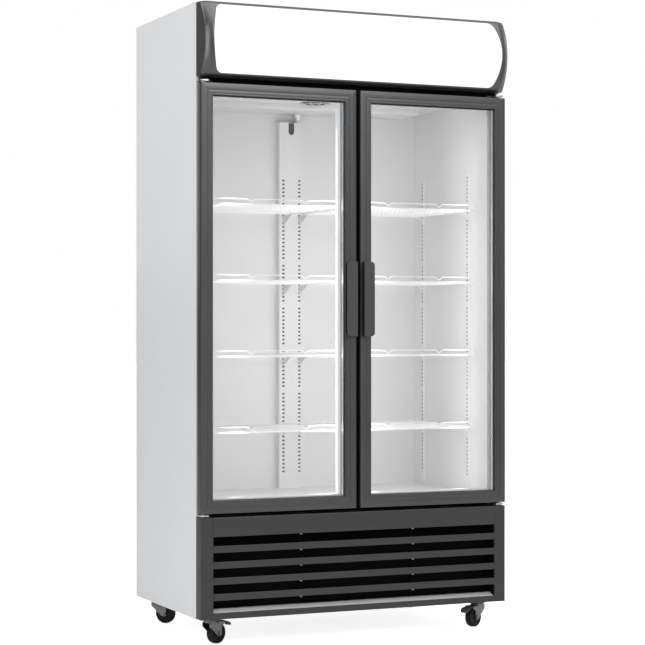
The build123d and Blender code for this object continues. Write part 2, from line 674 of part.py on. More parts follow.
HINGE_PLATE_T = 4.5
TOP_PLATE_Z = 1668.0
LOW_PLATE_Z = 386.5
with BuildPart() as hinge_brackets:
    for plate_z, low_z, high_z, reach in (
        (TOP_PLATE_Z, DOOR_TOP - PIN_DEPTH, TOP_PLATE_Z, 440.0),
        (LOW_PLATE_Z, LOW_PLATE_Z + HINGE_PLATE_T, DOOR_Z + PIN_DEPTH, 452.0),
    ):
        plate_z_span = (plate_z, plate_z + HINGE_PLATE_T)
        slab((480, HALF), (FRONT_Y - 38, FRONT_Y), plate_z_span)
        slab((reach, 480), (FRONT_Y - 12, FRONT_Y), plate_z_span)
        with Locations((HINGE_X, HINGE_Y, (low_z + high_z) / 2)):
            Cylinder(PIN_R, high_z - low_z)
    with Locations((HINGE_X, HINGE_Y, (LOW_PLATE_Z + HINGE_PLATE_T + DOOR_Z - 0.2) / 2)):
        Cylinder(8, DOOR_Z - 0.2 - LOW_PLATE_Z - HINGE_PLATE_T)
    with Locations((HINGE_X, HINGE_Y, (DOOR_TOP + 0.2 + TOP_PLATE_Z) / 2)):
        Cylinder(6, TOP_PLATE_Z - DOOR_TOP - 0.2)
    both_sides()
save(hinge_brackets, "hinge_brackets")

# ---------------------------------------------------------------- doors

DOOR_MID_X = DOOR_X + DOOR_W / 2
DOOR_REAR_Y = DOOR_FACE_Y + DOOR_T
POCKET_DEPTH = 6.0
POCKET_T = 2 * PANE_T + PANE_GAP
POCKET_REACH = 9.0
GROOVE_AT = 18.0
with BuildPart() as door_right_frame:
    with BuildLine() as door_edge:
        Polyline(
            (DOOR_MID_X, DOOR_REAR_Y, DOOR_Z),
            (HALF, DOOR_REAR_Y, DOOR_Z),
            (HALF, DOOR_REAR_Y, DOOR_TOP),
            (DOOR_X, DOOR_REAR_Y, DOOR_TOP),
            (DOOR_X, DOOR_REAR_Y, DOOR_Z),
            close=True,
        )
    with BuildSketch(Plane(origin=(DOOR_MID_X, DOOR_REAR_Y, DOOR_Z), x_dir=(0, 1, 0), z_dir=(1, 0, 0))):
        with BuildLine():
            front = -DOOR_T
            pocket = front + POCKET_DEPTH
            Polyline(
                (front, 0),
                (front, GROOVE_AT),
                (front + 1, GROOVE_AT),
                (front + 1, GROOVE_AT + 1.2),
                (front + 0.3, GROOVE_AT + 1.2),
                (front + 3.2, RAIL_W),
                (pocket, RAIL_W),
                (pocket, RAIL_W - POCKET_REACH),
                (pocket + POCKET_T, RAIL_W - POCKET_REACH),
                (pocket + POCKET_T, RAIL_W),
                (-3, RAIL_W),
                (0, RAIL_W - 3),
                (0, RAIL_W - POCKET_REACH - 3),
                (front + 3, RAIL_W - POCKET_REACH - 3),
                (front + 3, 2.5),
                (0, 2.5),
                (0, 0),
                close=True,
            )
        make_face()
    sweep(path=door_edge.wires()[0], transition=Transition.RIGHT)
    block_x = (HALF - RAIL_W + POCKET_REACH + 3, HALF - 2)
    block_y = (DOOR_FACE_Y + 2, DOOR_REAR_Y)
    slab(block_x, block_y, (DOOR_Z + 2, DOOR_Z + PIN_DEPTH + 6))
    slab(block_x, block_y, (DOOR_TOP - PIN_DEPTH - 6, DOOR_TOP - 2))
    for z in (DOOR_Z, DOOR_TOP):
        with Locations((HINGE_X, HINGE_Y, z)):
            Cylinder(PIN_R + PIN_CLEARANCE, 2 * PIN_DEPTH + 2, mode=Mode.SUBTRACT)

pane_w = DOOR_W - 2 * (RAIL_W - POCKET_REACH + 1)
pane_h = DOOR_H - 2 * (RAIL_W - POCKET_REACH + 1)
door_mid_z = (DOOR_Z + DOOR_TOP) / 2
pane_front_y = DOOR_FACE_Y + POCKET_DEPTH
spacer_y = (pane_front_y + PANE_T, pane_front_y + PANE_T + PANE_GAP)
with BuildPart() as door_right_glass:
    for y in (pane_front_y, spacer_y[1]):
        with BuildSketch(front_plane(y + PANE_T)):
            with Locations((DOOR_MID_X, door_mid_z)):
                Rectangle(pane_w, pane_h)
        extrude(amount=PANE_T)

SPACER_W = 12.0
with BuildPart() as door_right_spacer:
    with BuildSketch(front_plane(spacer_y[1])):
        with Locations((DOOR_MID_X, door_mid_z)):
            Rectangle(pane_w, pane_h)
            Rectangle(pane_w - 2 * SPACER_W, pane_h - 2 * SPACER_W, mode=Mode.SUBTRACT)
    extrude(amount=PANE_GAP)

SEAL_OUT = HALF - HINGE_X + 1
SEAL_REAR_Y = FRONT_Y - 0.6
with BuildPart() as door_right_gasket:
    with BuildSketch(front_plane(SEAL_REAR_Y)):
        with Locations((DOOR_MID_X, door_mid_z)):
            Rectangle(DOOR_W - 2 * SEAL_OUT, DOOR_H - 2 * SEAL_OUT)
            Rectangle(DOOR_W - 2 * RAIL_W, DOOR_H - 2 * RAIL_W, mode=Mode.SUBTRACT)
    extrude(amount=SEAL_REAR_Y - DOOR_REAR_Y)

HANDLE_X = (11.4, 45.4)
HANDLE_Z = (916.0, 1142.0)
HANDLE_FACE_Y = -302.5
HANDLE_T = 5.0
HANDLE_CORNER_R = 13.0
with BuildPart() as door_right_handle:
    with BuildSketch(front_plane(HANDLE_FACE_Y + HANDLE_T)) as handle_plate:
        with Locations((sum(HANDLE_X) / 2, sum(HANDLE_Z) / 2)):
            Rectangle(HANDLE_X[1] - HANDLE_X[0], HANDLE_Z[1] - HANDLE_Z[0])
        fillet(handle_plate.vertices().group_by(Axis.X)[-1], HANDLE_CORNER_R)
    extrude(amount=HANDLE_T)
    wall_x = (HANDLE_X[0], HANDLE_X[0] + HANDLE_T)
    slab(wall_x, (HANDLE_FACE_Y + HANDLE_T, DOOR_FACE_Y), HANDLE_Z)
    for z in (HANDLE_Z[0], HANDLE_Z[1] - 4):
        slab((wall_x[1], wall_x[1] + 10), (HANDLE_FACE_Y + HANDLE_T, DOOR_FACE_Y), (z, z + 4))

DOOR_PIECES = {
    "frame": door_right_frame,
    "glass": door_right_glass,
    "spacer": door_right_spacer,
    "gasket": door_right_gasket,
    "handle": door_right_handle,
}
for piece, right_piece in DOOR_PIECES.items():
    save(right_piece, f"door_right_{piece}")
    with BuildPart() as left_piece:
        add(right_piece.part)
        mirror(about=Plane.YZ, mode=Mode.REPLACE)
    save(left_piece, f"door_left_{piece}")

# ---------------------------------------------------------------- casters

PLATE_T = 2.5
PLATE_X = 70.0
PLATE_Y = 60.0
RACE_R = 24.0
RACE_H = 8.0
RACE_BOTTOM = BASE_Z - PLATE_T - RACE_H
KINGPIN_R = 5.0
YOKE_Z = 66.0
CHEEK_GAP = 26.0
CHEEK_T = 2.5
CHEEK_OUT = CHEEK_GAP / 2 + CHEEK_T
PEDAL_X = 41.0
PEDAL_Z = 67.0
BOLT_X = 27.0
BOLT_Y = 22.0

with BuildPart() as caster_plates:
    for stem_x, stem_y, _ in CASTERS.values():
        with Locations((stem_x, stem_y, BASE_Z - PLATE_T / 2)):
            Box(PLATE_X, PLATE_Y, PLATE_T)
        with Locations((stem_x, stem_y, BASE_Z - PLATE_T - RACE_H / 2)):
            Cylinder(RACE_R, RACE_H)
        with Locations((stem_x, stem_y, (RACE_BOTTOM + YOKE_Z + 1) / 2)):
            Cylinder(KINGPIN_R, RACE_BOTTOM - YOKE_Z - 1)
save(caster_plates, "caster_plates")

with BuildPart() as fasteners:
    for stem_x, stem_y, _ in CASTERS.values():
        with BuildSketch(Plane.XY.offset(BASE_Z - PLATE_T - 3)):
            with Locations((stem_x, stem_y)):
                with GridLocations(2 * BOLT_X, 2 * BOLT_Y, 2, 2):
                    RegularPolygon(4.5, 6)
        extrude(amount=3)
save(fasteners, "fasteners")


def side_plane(across):
    """A drawing plane along a caster's trail, at a distance to its side."""
    return Plane.XZ.offset(-across)


for corner, (stem_x, stem_y, trail_angle) in CASTERS.items():
    place = Location((stem_x, stem_y, 0), (0, 0, trail_angle))
    has_brake = corner.startswith("front")
    tail_x = PEDAL_X + 6 if has_brake else TRAIL + 8
    with BuildPart() as fork_shape:
        with Locations((0, 0, (RACE_BOTTOM - 0.3 + YOKE_Z) / 2)):
            Cylinder(RACE_R - 3, RACE_BOTTOM - 0.3 - YOKE_Z)
        slab((-20, TRAIL + 8), (-CHEEK_OUT, CHEEK_OUT), (YOKE_Z, YOKE_Z + CHEEK_T))
        with Locations((0, 0, YOKE_Z)):
            Cylinder(KINGPIN_R + PIN_CLEARANCE, 2 * RACE_H, mode=Mode.SUBTRACT)
        for across in (CHEEK_OUT, -CHEEK_GAP / 2):
            with BuildSketch(side_plane(across)) as cheek:
                with BuildLine():
                    Polyline(
                        (-20, YOKE_Z + CHEEK_T),
                        (-20, 54),
                        (TRAIL - 8, WHEEL_R - 8),
                        (TRAIL + 8, WHEEL_R - 8),
                        (TRAIL + 8, 52),
                        (tail_x, 60),
                        (tail_x, YOKE_Z + CHEEK_T),
                        close=True,
                    )
                make_face()
                fillet(cheek.vertices().sort_by(Axis.Y)[:2], 6)
                with Locations((PEDAL_X, PEDAL_Z - 3)):
                    Circle(2.5 + PIN_CLEARANCE, mode=Mode.SUBTRACT if has_brake else Mode.PRIVATE)
            extrude(amount=CHEEK_T)
        with BuildSketch(side_plane(CHEEK_OUT + 3)):
            with Locations((TRAIL, WHEEL_R)):
                Circle(AXLE_R)
        extrude(amount=2 * CHEEK_OUT + 6)
        for across in (CHEEK_OUT + 3, -CHEEK_OUT):
            with BuildSketch(side_plane(across)):
                with Locations((TRAIL, WHEEL_R)):
                    RegularPolygon(7, 6)
            extrude(amount=3)
    with BuildPart() as caster_fork:
        with Locations(place):
            add(fork_shape.part)
    save(caster_fork, f"caster_fork_{corner}")

    with BuildPart() as wheel_shape:
        with BuildSketch(side_plane(WHEEL_W / 2)):
            with Locations((TRAIL, WHEEL_R)):
                Circle(WHEEL_R)
        extrude(amount=WHEEL_W)
        fillet(wheel_shape.edges().filter_by(GeomType.CIRCLE), 3)
        for across in (WHEEL_W / 2, -WHEEL_W / 2 + 3):
            with BuildSketch(side_plane(across)):
                with Locations((TRAIL, WHEEL_R)):
                    Circle(WHEEL_R - 7)
                    Circle(10, mode=Mode.SUBTRACT)
            extrude(amount=3, mode=Mode.SUBTRACT)
        with BuildSketch(side_plane(WHEEL_W / 2)):
            with Locations((TRAIL, WHEEL_R)):
                Circle(AXLE_R + PIN_CLEARANCE)
        extrude(amount=WHEEL_W, mode=Mode.SUBTRACT)
    with BuildPart() as caster_wheel:
        with Locations(place):
            add(wheel_shape.part)
    save(caster_wheel, f"caster_wheel_{corner}")

    if has_brake:
        with BuildPart() as pedal_shape:
            with BuildSketch(side_plane(CHEEK_GAP / 2 - 0.3)):
                with Locations((PEDAL_X, PEDAL_Z - 3)):
                    Circle(3.4)
            extrude(amount=CHEEK_GAP - 0.6)
            with BuildSketch(side_plane(CHEEK_OUT)):
                with Locations((PEDAL_X, PEDAL_Z - 3)):
                    Circle(2.5)
            extrude(amount=2 * CHEEK_OUT)
            with BuildSketch(side_plane(CHEEK_GAP / 2 - 0.3)):
                with BuildLine():
                    Polyline((PEDAL_X, 67), (58, 65), (58, 60), (PEDAL_X, 61), close=True)
                make_face()
            extrude(amount=CHEEK_GAP - 0.6)
            with BuildSketch(side_plane(CHEEK_OUT)):
                with BuildLine():
                    pedal_side = [(50, 66.5), (66, 64), (80, 55), (82, 49), (78, 47), (58, 58), (50, 60)]
                    Polyline(pedal_side, close=True)
                make_face()
            extrude(amount=2 * CHEEK_OUT)
        with BuildPart() as caster_brake:
            with Locations(place):
                add(pedal_shape.part)
        save(caster_brake, f"caster_brake_{corner}")
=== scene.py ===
import json
import math

import bmesh
import bpy
import numpy as np
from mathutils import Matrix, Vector


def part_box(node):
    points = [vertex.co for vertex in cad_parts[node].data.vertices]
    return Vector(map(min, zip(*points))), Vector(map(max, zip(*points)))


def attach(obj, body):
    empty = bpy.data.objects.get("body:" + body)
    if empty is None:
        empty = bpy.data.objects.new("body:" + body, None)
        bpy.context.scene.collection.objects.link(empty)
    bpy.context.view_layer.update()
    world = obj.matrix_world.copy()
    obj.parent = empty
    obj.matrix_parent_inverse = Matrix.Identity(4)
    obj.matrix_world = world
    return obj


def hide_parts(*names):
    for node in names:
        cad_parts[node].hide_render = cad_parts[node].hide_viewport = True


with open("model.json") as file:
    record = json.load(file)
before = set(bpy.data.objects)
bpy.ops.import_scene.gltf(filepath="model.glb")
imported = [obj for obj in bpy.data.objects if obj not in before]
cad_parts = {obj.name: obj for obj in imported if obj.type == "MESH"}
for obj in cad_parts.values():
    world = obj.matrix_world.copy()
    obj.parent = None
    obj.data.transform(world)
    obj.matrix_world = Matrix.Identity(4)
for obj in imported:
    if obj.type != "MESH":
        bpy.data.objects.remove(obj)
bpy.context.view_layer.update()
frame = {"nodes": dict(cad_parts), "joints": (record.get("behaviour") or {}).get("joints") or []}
MM = 0.001

# ---------------------------------------------------------------- camera, floor and lights

scene = bpy.context.scene
view = bpy.data.cameras.new("view")
view.lens = 108.6
view.sensor_width = 36.0
view_object = bpy.data.objects.new("view", view)
view_object.location = (-2.4983, -5.6333, 0.9439)
view_object.rotation_euler = Vector((0.40614, 0.91381, 0.00238)).to_track_quat("-Z", "Y").to_euler()
scene.collection.objects.link(view_object)
scene.camera = view_object
scene.view_settings.view_transform = "Standard"
scene.cycles.use_denoising = True


def soft_light(name, place, aim, size, power):
    """A rectangular studio light at a place, facing its aim."""
    light = bpy.data.lights.new(name, "AREA")
    light.shape = "RECTANGLE"
    light.size, light.size_y = size
    light.energy = power
    holder = bpy.data.objects.new(name, light)
    holder.location = place
    holder.rotation_euler = (Vector(aim) - Vector(place)).to_track_quat("-Z", "Y").to_euler()
    holder.visible_camera = False
    holder.visible_transmission = False
    scene.collection.objects.link(holder)
    return holder


# the direction in which the surroundings are brightest
BRIGHT_SIDE = Vector((0.30, -0.66, 0.69))


def studio_world():
    """Full white to the camera. Its light is brightest towards BRIGHT_SIDE and falls off from there."""
    world = bpy.data.worlds.new("studio")
    world.use_nodes = True
    tree = world.node_tree
    tree.nodes.clear()
    out = tree.nodes.new("ShaderNodeOutputWorld")
    mix = tree.nodes.new("ShaderNodeMixShader")
    path = tree.nodes.new("ShaderNodeLightPath")
    lit = tree.nodes.new("ShaderNodeBackground")
    seen = tree.nodes.new("ShaderNodeBackground")
    ray = tree.nodes.new("ShaderNodeTexCoord")
    towards = tree.nodes.new("ShaderNodeVectorMath")
    towards.operation = "DOT_PRODUCT"
    towards.inputs[1].default_value = BRIGHT_SIDE
    part = tree.nodes.new("ShaderNodeMapRange")
    part.inputs["From Min"].default_value = -1.0
    sky = tree.nodes.new("ShaderNodeValToRGB")
    sky.color_ramp.elements[0].position = 0.16
    sky.color_ramp.elements[0].color = (0.02, 0.02, 0.02, 1)
    sky.color_ramp.elements[1].position = 0.95
    sky.color_ramp.elements[1].color = (1.0, 1.0, 1.0, 1)
    tree.links.new(ray.outputs["Generated"], towards.inputs[0])
    tree.links.new(towards.outputs["Value"], part.inputs["Value"])
    tree.links.new(part.outputs["Result"], sky.inputs["Fac"])
    tree.links.new(sky.outputs["Color"], lit.inputs["Color"])
    lit.inputs["Strength"].default_value = 0.70
    seen.inputs["Color"].default_value = (1, 1, 1, 1)
    seen.inputs["Strength"].default_value = 1.0
    tree.links.new(path.outputs["Is Camera Ray"], mix.inputs["Fac"])
    tree.links.new(lit.outputs["Background"], mix.inputs[1])
    tree.links.new(seen.outputs["Background"], mix.inputs[2])
    tree.links.new(mix.outputs["Shader"], out.inputs["Surface"])
    scene.world = world


studio_world()
soft_light("overhead", (0.0, -0.8, 3.6), (0.0, 0.0, 1.2), (3.2, 2.4), 40)
left_fill = soft_light("left_fill", (-3.6, -0.2, 2.9), (-0.5, 0.0, 1.2), (2.2, 2.4), 20)
left_fill.visible_glossy = False
soft_light("sign_side", (-3.4, -2.6, 1.8), (-0.5, -0.28, 1.7), (0.7, 3.4), 34)
soft_light("front_fill", (0.3, -4.0, 3.2), (0.0, -0.3, 1.3), (2.8, 1.8), 22)
soft_light("front_box", (0.9, -4.6, 3.4), (0.0, -0.3, 1.2), (2.4, 2.2), 44)
soft_light("right_fill", (3.4, 1.2, 1.9), (0.4, 0.0, 1.0), (2.0, 2.4), 16)
soft_light("rear_fill", (-0.6, 3.8, 2.2), (0.0, 0.3, 1.0), (2.4, 2.2), 20)

# the lamps inside the doors: beside the middle post and beside the outer posts
BAY_LAMP_Y = -0.222
BAY_AIM_Y = 0.27
BAY_MIDDLE_Z = 0.98
BAY_LAMP_HEIGHT = 1.14
for side in (-1, 1):
    for name, x, aim_x, width, power in (
        ("bay", 0.060, 0.30, 0.05, 1.15),
        ("bay_edge", 0.385, 0.24, 0.04, 0.50),
    ):
        place = (side * x, BAY_LAMP_Y, BAY_MIDDLE_Z)
        aim = (side * aim_x, BAY_AIM_Y, BAY_MIDDLE_Z)
        lamp = soft_light(f"{name}_{side}", place, aim, (width, BAY_LAMP_HEIGHT), power)
        lamp.visible_glossy = False

# ---------------------------------------------------------------- shapes


def skin(points, around=False, along=False, caps=False):
    """Four-sided faces over a grid of points.

    around closes each row into a ring, along joins the last row to the first, and caps
    shuts both ends with one face each.
    """
    rows, columns = points.shape[:2]
    index = np.arange(rows * columns).reshape(rows, columns)
    grid = np.concatenate([index, index[:1]]) if along else index
    grid = np.concatenate([grid, grid[:, :1]], axis=1) if around else grid
    quads = np.stack([grid[:-1, :-1], grid[:-1, 1:], grid[1:, 1:], grid[1:, :-1]], axis=-1)
    faces = quads.reshape(-1, 4).tolist()
    if caps:
        faces += [index[0][::-1].tolist(), index[-1].tolist()]
    return points.reshape(-1, 3), faces


def soft_outline(corners, radius, steps=4):
    """A closed outline with each corner c turned into the curve (1-t)^2 a + 2t(1-t) c + t^2 b.

    a and b lie the radius away from c along its two sides.
    """
    c = np.asarray(corners, float)
    before = np.roll(c, 1, axis=0) - c
    after = np.roll(c, -1, axis=0) - c
    r = np.broadcast_to(np.asarray(radius, float), (len(c),))[:, None]
    a = c + before / np.linalg.norm(before, axis=1, keepdims=True) * r
    b = c + after / np.linalg.norm(after, axis=1, keepdims=True) * r
    t = np.linspace(0, 1, steps + 1)[None, :, None]
    curve = (1 - t) ** 2 * a[:, None] + 2 * t * (1 - t) * c[:, None] + t**2 * b[:, None]
    return curve.reshape(-1, c.shape[1])


def prism(outline, axis, low, high):
    """An outline in the other two axes, carried straight along one axis from low to high."""
    ends = np.array([low, high], float)
    grid = np.empty((2, len(outline), 3))
    others = [k for k in range(3) if k != axis]
    grid[:, :, others] = np.asarray(outline, float)[None]
    grid[:, :, axis] = ends[:, None]
    return skin(grid, around=True, caps=True)


def block(low, high, radius=0.0, axis=2, steps=3):
    """A box between two corners, its four edges along one axis rounded by the radius."""
    others = [k for k in range(3) if k != axis]
    (a0, b0), (a1, b1) = [low[k] for k in others], [high[k] for k in others]
    corners = [(a0, b0), (a1, b0), (a1, b1), (a0, b1)]
    outline = soft_outline(corners, radius, steps) if radius else corners
    return prism(outline, axis, low[axis], high[axis])


def rod(path, radius, sides=8, closed=False):
    """A circle of the radius carried along the path, always square to the path's direction."""
    p = np.asarray(path, float)
    if closed:
        along = np.roll(p, -1, axis=0) - np.roll(p, 1, axis=0)
    else:
        along = np.gradient(p, axis=0)
    along /= np.linalg.norm(along, axis=1, keepdims=True)
    least = int(np.argmin(np.abs(along).mean(axis=0)))
    across = np.cross(along, np.eye(3)[least])
    across /= np.linalg.norm(across, axis=1, keepdims=True)
    up = np.cross(along, across)
    turn = np.linspace(0, 2 * np.pi, sides, endpoint=False)[None, :, None]
    ring = np.cos(turn) * across[:, None] + np.sin(turn) * up[:, None]
    grid = p[:, None] + radius * ring
    return skin(grid, around=True, along=closed, caps=not closed)


def lathe(outline, centre, axis, sides=48):
    """A closed outline of (radius, height) turned once about an axis through the centre."""
    z = np.asarray(axis, float) / np.linalg.norm(axis)
    x = np.cross(z, (0.0, 0.0, 1.0) if abs(z[2]) < 0.9 else (1.0, 0.0, 0.0))
    x /= np.linalg.norm(x)
    y = np.cross(z, x)
    o = np.asarray(outline, float)
    turn = np.linspace(0, 2 * np.pi, sides, endpoint=False)[:, None, None]
    ring = np.cos(turn) * x + np.sin(turn) * y
    grid = np.asarray(centre, float) + o[None, :, :1] * ring + o[None, :, 1:] * z
    return skin(grid, around=True, along=True)


def piece(name, shells, finish, body, stands_for=(), bevel=0.0, segments=2, smooth=35):
    """One object from closed shells. It rides on a body, takes a finish and stands for CAD nodes.

    Edges sharper than the smooth angle, in degrees, stay sharp.
    """
    verts, faces, start = [], [], 0
    for points, quads in shells:
        verts.append(points)
        faces += [[i + start for i in face] for face in quads]
        start += len(points)
    mesh = bpy.data.meshes.new(name)
    mesh.from_pydata(np.concatenate(verts).tolist(), [], faces)
    work = bmesh.new()
    work.from_mesh(mesh)
    bmesh.ops.remove_doubles(work, verts=work.verts, dist=1e-6)
    bmesh.ops.recalc_face_normals(work, faces=work.faces)
    work.to_mesh(mesh)
    work.free()
    mesh.shade_smooth()
    mesh.set_sharp_from_angle(angle=math.radians(smooth))
    mesh.materials.append(finish)
    made = bpy.data.objects.new(name, mesh)
    scene.collection.objects.link(made)
    if bevel:
        edge = made.modifiers.new("edge", "BEVEL")
        edge.width = bevel
        edge.segments = segments
        edge.limit_method = "ANGLE"
        edge.angle_limit = math.radians(40)
        edge.harden_normals = True
    if stands_for:
        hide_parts(*stands_for)
    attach(made, body)
    return made


# ---------------------------------------------------------------- finishes


def finish_nodes(name):
    """An empty material with its shader, output and object coordinates."""
    made = bpy.data.materials.new(name)
    made.use_nodes = True
    tree = made.node_tree
    tree.nodes.clear()
    out = tree.nodes.new("ShaderNodeOutputMaterial")
    shader = tree.nodes.new("ShaderNodeBsdfPrincipled")
    place = tree.nodes.new("ShaderNodeTexCoord")
    tree.links.new(shader.outputs["BSDF"], out.inputs["Surface"])
    return made, tree, shader, place.outputs["Object"], out


def noise(tree, place, size, detail=3.0, stretch=(1, 1, 1)):
    """Noise with features of about the size, in metres, stretched along the axes."""
    if stretch != (1, 1, 1):
        turn = tree.nodes.new("ShaderNodeMapping")
        turn.inputs["Scale"].default_value = stretch
        tree.links.new(place, turn.inputs["Vector"])
        place = turn.outputs["Vector"]
    made = tree.nodes.new("ShaderNodeTexNoise")
    made.inputs["Scale"].default_value = 1 / size
    made.inputs["Detail"].default_value = detail
    tree.links.new(place, made.inputs["Vector"])
    return made.outputs["Fac"]


def spread(tree, value, low, high, start=0.3, end=0.7):
    """The value's range from start to end, carried to low and high."""
    made = tree.nodes.new("ShaderNodeMapRange")
    made.inputs["From Min"].default_value = start
    made.inputs["From Max"].default_value = end
    made.inputs["To Min"].default_value = low
    made.inputs["To Max"].default_value = high
    tree.links.new(value, made.inputs["Value"])
    return made.outputs["Result"]


def tones(tree, value, dark, light, start=0.3, end=0.7):
    """A colour between dark and light that follows the value."""
    made = tree.nodes.new("ShaderNodeValToRGB")
    made.color_ramp.elements[0].position = start
    made.color_ramp.elements[0].color = (*dark, 1)
    made.color_ramp.elements[1].position = end
    made.color_ramp.elements[1].color = (*light, 1)
    tree.links.new(value, made.inputs["Fac"])
    return made.outputs["Color"]


def relief(tree, shader, height, depth, strength=1.0):
    """Bump of a depth in metres on the shader's normal."""
    made = tree.nodes.new("ShaderNodeBump")
    made.inputs["Distance"].default_value = depth
    made.inputs["Strength"].default_value = strength
    tree.links.new(height, made.inputs["Height"])
    tree.links.new(made.outputs["Normal"], shader.inputs["Normal"])


def coated(
    name, tone, shift, rough, grain, depth, metal=0.0, stretch=(1, 1, 1), patch=0.25, **sockets
):
    """A coated or moulded surface.

    Its tone drifts by the shift over patches. A fine grain moves the roughness and gives
    the relief, both at the grain's size. Sizes and the depth are in metres.
    """
    made, tree, shader, place, _ = finish_nodes(name)
    drift = noise(tree, place, patch, 4.0)
    light = tuple(min(1.0, c * (1 + shift)) for c in tone)
    dark = tuple(c * (1 - shift) for c in tone)
    tree.links.new(tones(tree, drift, dark, light), shader.inputs["Base Color"])
    fine = noise(tree, place, grain, 2.0, stretch)
    tree.links.new(spread(tree, fine, rough - 0.05, rough + 0.05), shader.inputs["Roughness"])
    shader.inputs["Metallic"].default_value = metal
    for socket, value in sockets.items():
        shader.inputs[socket.replace("_", " ")].default_value = value
    relief(tree, shader, fine, depth)
    return made


case_enamel = coated("case_enamel", (0.80, 0.81, 0.82), 0.012, 0.38, 0.0022, 0.00006)
liner_enamel = coated("liner_enamel", (0.77, 0.77, 0.77), 0.012, 0.46, 0.0030, 0.00010)
shelf_coat = coated("shelf_coat", (0.94, 0.94, 0.93), 0.02, 0.24, 0.0015, 0.00004)
frame_satin = coated("frame_satin", (0.086, 0.087, 0.089), 0.05, 0.34, 0.0007, 0.00004, 0.75)
sheet_satin = coated("sheet_satin", (0.050, 0.051, 0.052), 0.05, 0.38, 0.0008, 0.00005, 0.55)
# pale grey on the charcoal sheet's sloped ledge: painted light, for the light the upward-facing ledge
# catches
ledge_painted_light = coated("ledge_painted_light", (0.62, 0.62, 0.62), 0.04, 0.40, 0.0010, 0.00004)
# near black: the condenser filter's own colour and the grille ribs', and painted shade on the gap, slot
# and post strips
filter_black_and_shade = coated(
    "filter_black_and_shade", (0.003, 0.003, 0.003), 0.15, 0.90, 0.0016, 0.00040, Specular_IOR_Level=0.1
)
slot_shade = coated("slot_shade", (0.055, 0.055, 0.057), 0.10, 0.70, 0.0020, 0.00010)
sign_abs = coated(
    "sign_abs", (0.016, 0.016, 0.017), 0.06, 0.30, 0.0011, 0.00008,
    Specular_IOR_Level=0.9, Coat_Weight=0.5, Coat_Roughness=0.25,
)
seal_rubber = coated("seal_rubber", (0.42, 0.43, 0.44), 0.05, 0.62, 0.0012, 0.00006)
drawn_aluminium = coated(
    "drawn_aluminium", (0.76, 0.77, 0.78), 0.04, 0.30, 0.0010, 0.00003, 1.0, (40, 40, 1)
)
zinc_plate = coated(
    "zinc_plate", (0.58, 0.59, 0.60), 0.10, 0.36, 0.0014, 0.00005, 1.0, patch=0.012
)
wheel_rubber = coated(
    "wheel_rubber", (0.007, 0.007, 0.007), 0.10, 0.44, 0.0010, 0.00008, Specular_IOR_Level=0.25
)
# a darker copy of the zinc: painted shade and reflection, for the forks and plates in the dark under
# the case
shaded_caster_zinc = coated(
    "shaded_caster_zinc", (0.20, 0.20, 0.205), 0.12, 0.27, 0.0014, 0.00005, 1.0, patch=0.012
)
pedal_steel = coated("pedal_steel", (0.10, 0.10, 0.105), 0.10, 0.42, 0.0012, 0.00005)
pump_enamel = coated("pump_enamel", (0.022, 0.022, 0.023), 0.10, 0.34, 0.0016, 0.00008)
fan_moulding = coated("fan_moulding", (0.055, 0.056, 0.058), 0.06, 0.48, 0.0012, 0.00006)
foam_cells = coated("foam_cells", (0.78, 0.70, 0.48), 0.08, 0.85, 0.0020, 0.00040)


def lit_white(name, centre_tone, end_tone, strength, reach, axis):
    """A white diffuser lit from behind: its light cools towards both ends of an axis."""
    made, tree, shader, place, _ = finish_nodes(name)
    split = tree.nodes.new("ShaderNodeSeparateXYZ")
    size = tree.nodes.new("ShaderNodeMath")
    size.operation = "ABSOLUTE"
    tree.links.new(place, split.inputs["Vector"])
    tree.links.new(split.outputs[axis], size.inputs[0])
    share = spread(tree, size.outputs[0], 0, 1, *reach)
    tint = tones(tree, share, centre_tone, end_tone, 0, 1)
    tree.links.new(tint, shader.inputs["Emission Color"])
    shader.inputs["Emission Strength"].default_value = strength
    shader.inputs["Base Color"].default_value = (0.30, 0.30, 0.31, 1)
    grain = noise(tree, place, 0.0012, 2.0)
    tree.links.new(spread(tree, grain, 0.34, 0.42), shader.inputs["Roughness"])
    relief(tree, shader, grain, 0.00003)
    return made


sign_diffuser = lit_white(
    "sign_diffuser", (1.0, 1.0, 1.0), (0.86, 0.92, 1.0), 0.86, (0.34, 0.50), "X"
)
lamp_diffuser = lit_white(
    "lamp_diffuser", (1.0, 1.0, 1.0), (0.9, 0.94, 1.0), 0.50, (1.2, 1.7), "Z"
)


def pane_glass():
    """Clear float glass that lets lamps through, with a faint unevenness in its polish."""
    made, tree, shader, place, out = finish_nodes("pane_glass")
    shader.inputs["Base Color"].default_value = (1.0, 1.0, 1.0, 1)
    shader.inputs["Transmission Weight"].default_value = 1.0
    shader.inputs["IOR"].default_value = 1.28
    haze = noise(tree, place, 0.20, 3.0)
    tree.links.new(spread(tree, haze, 0.0, 0.02), shader.inputs["Roughness"])
    clear = tree.nodes.new("ShaderNodeBsdfTransparent")
    clear.inputs["Color"].default_value = (0.97, 0.97, 0.97, 1)
    path = tree.nodes.new("ShaderNodeLightPath")
    mix = tree.nodes.new("ShaderNodeMixShader")
    tree.links.new(path.outputs["Is Shadow Ray"], mix.inputs["Fac"])
    tree.links.new(shader.outputs["BSDF"], mix.inputs[1])
    tree.links.new(clear.outputs["BSDF"], mix.inputs[2])
    tree.links.new(mix.outputs["Shader"], out.inputs["Surface"])
    return made


clear_pane = pane_glass()

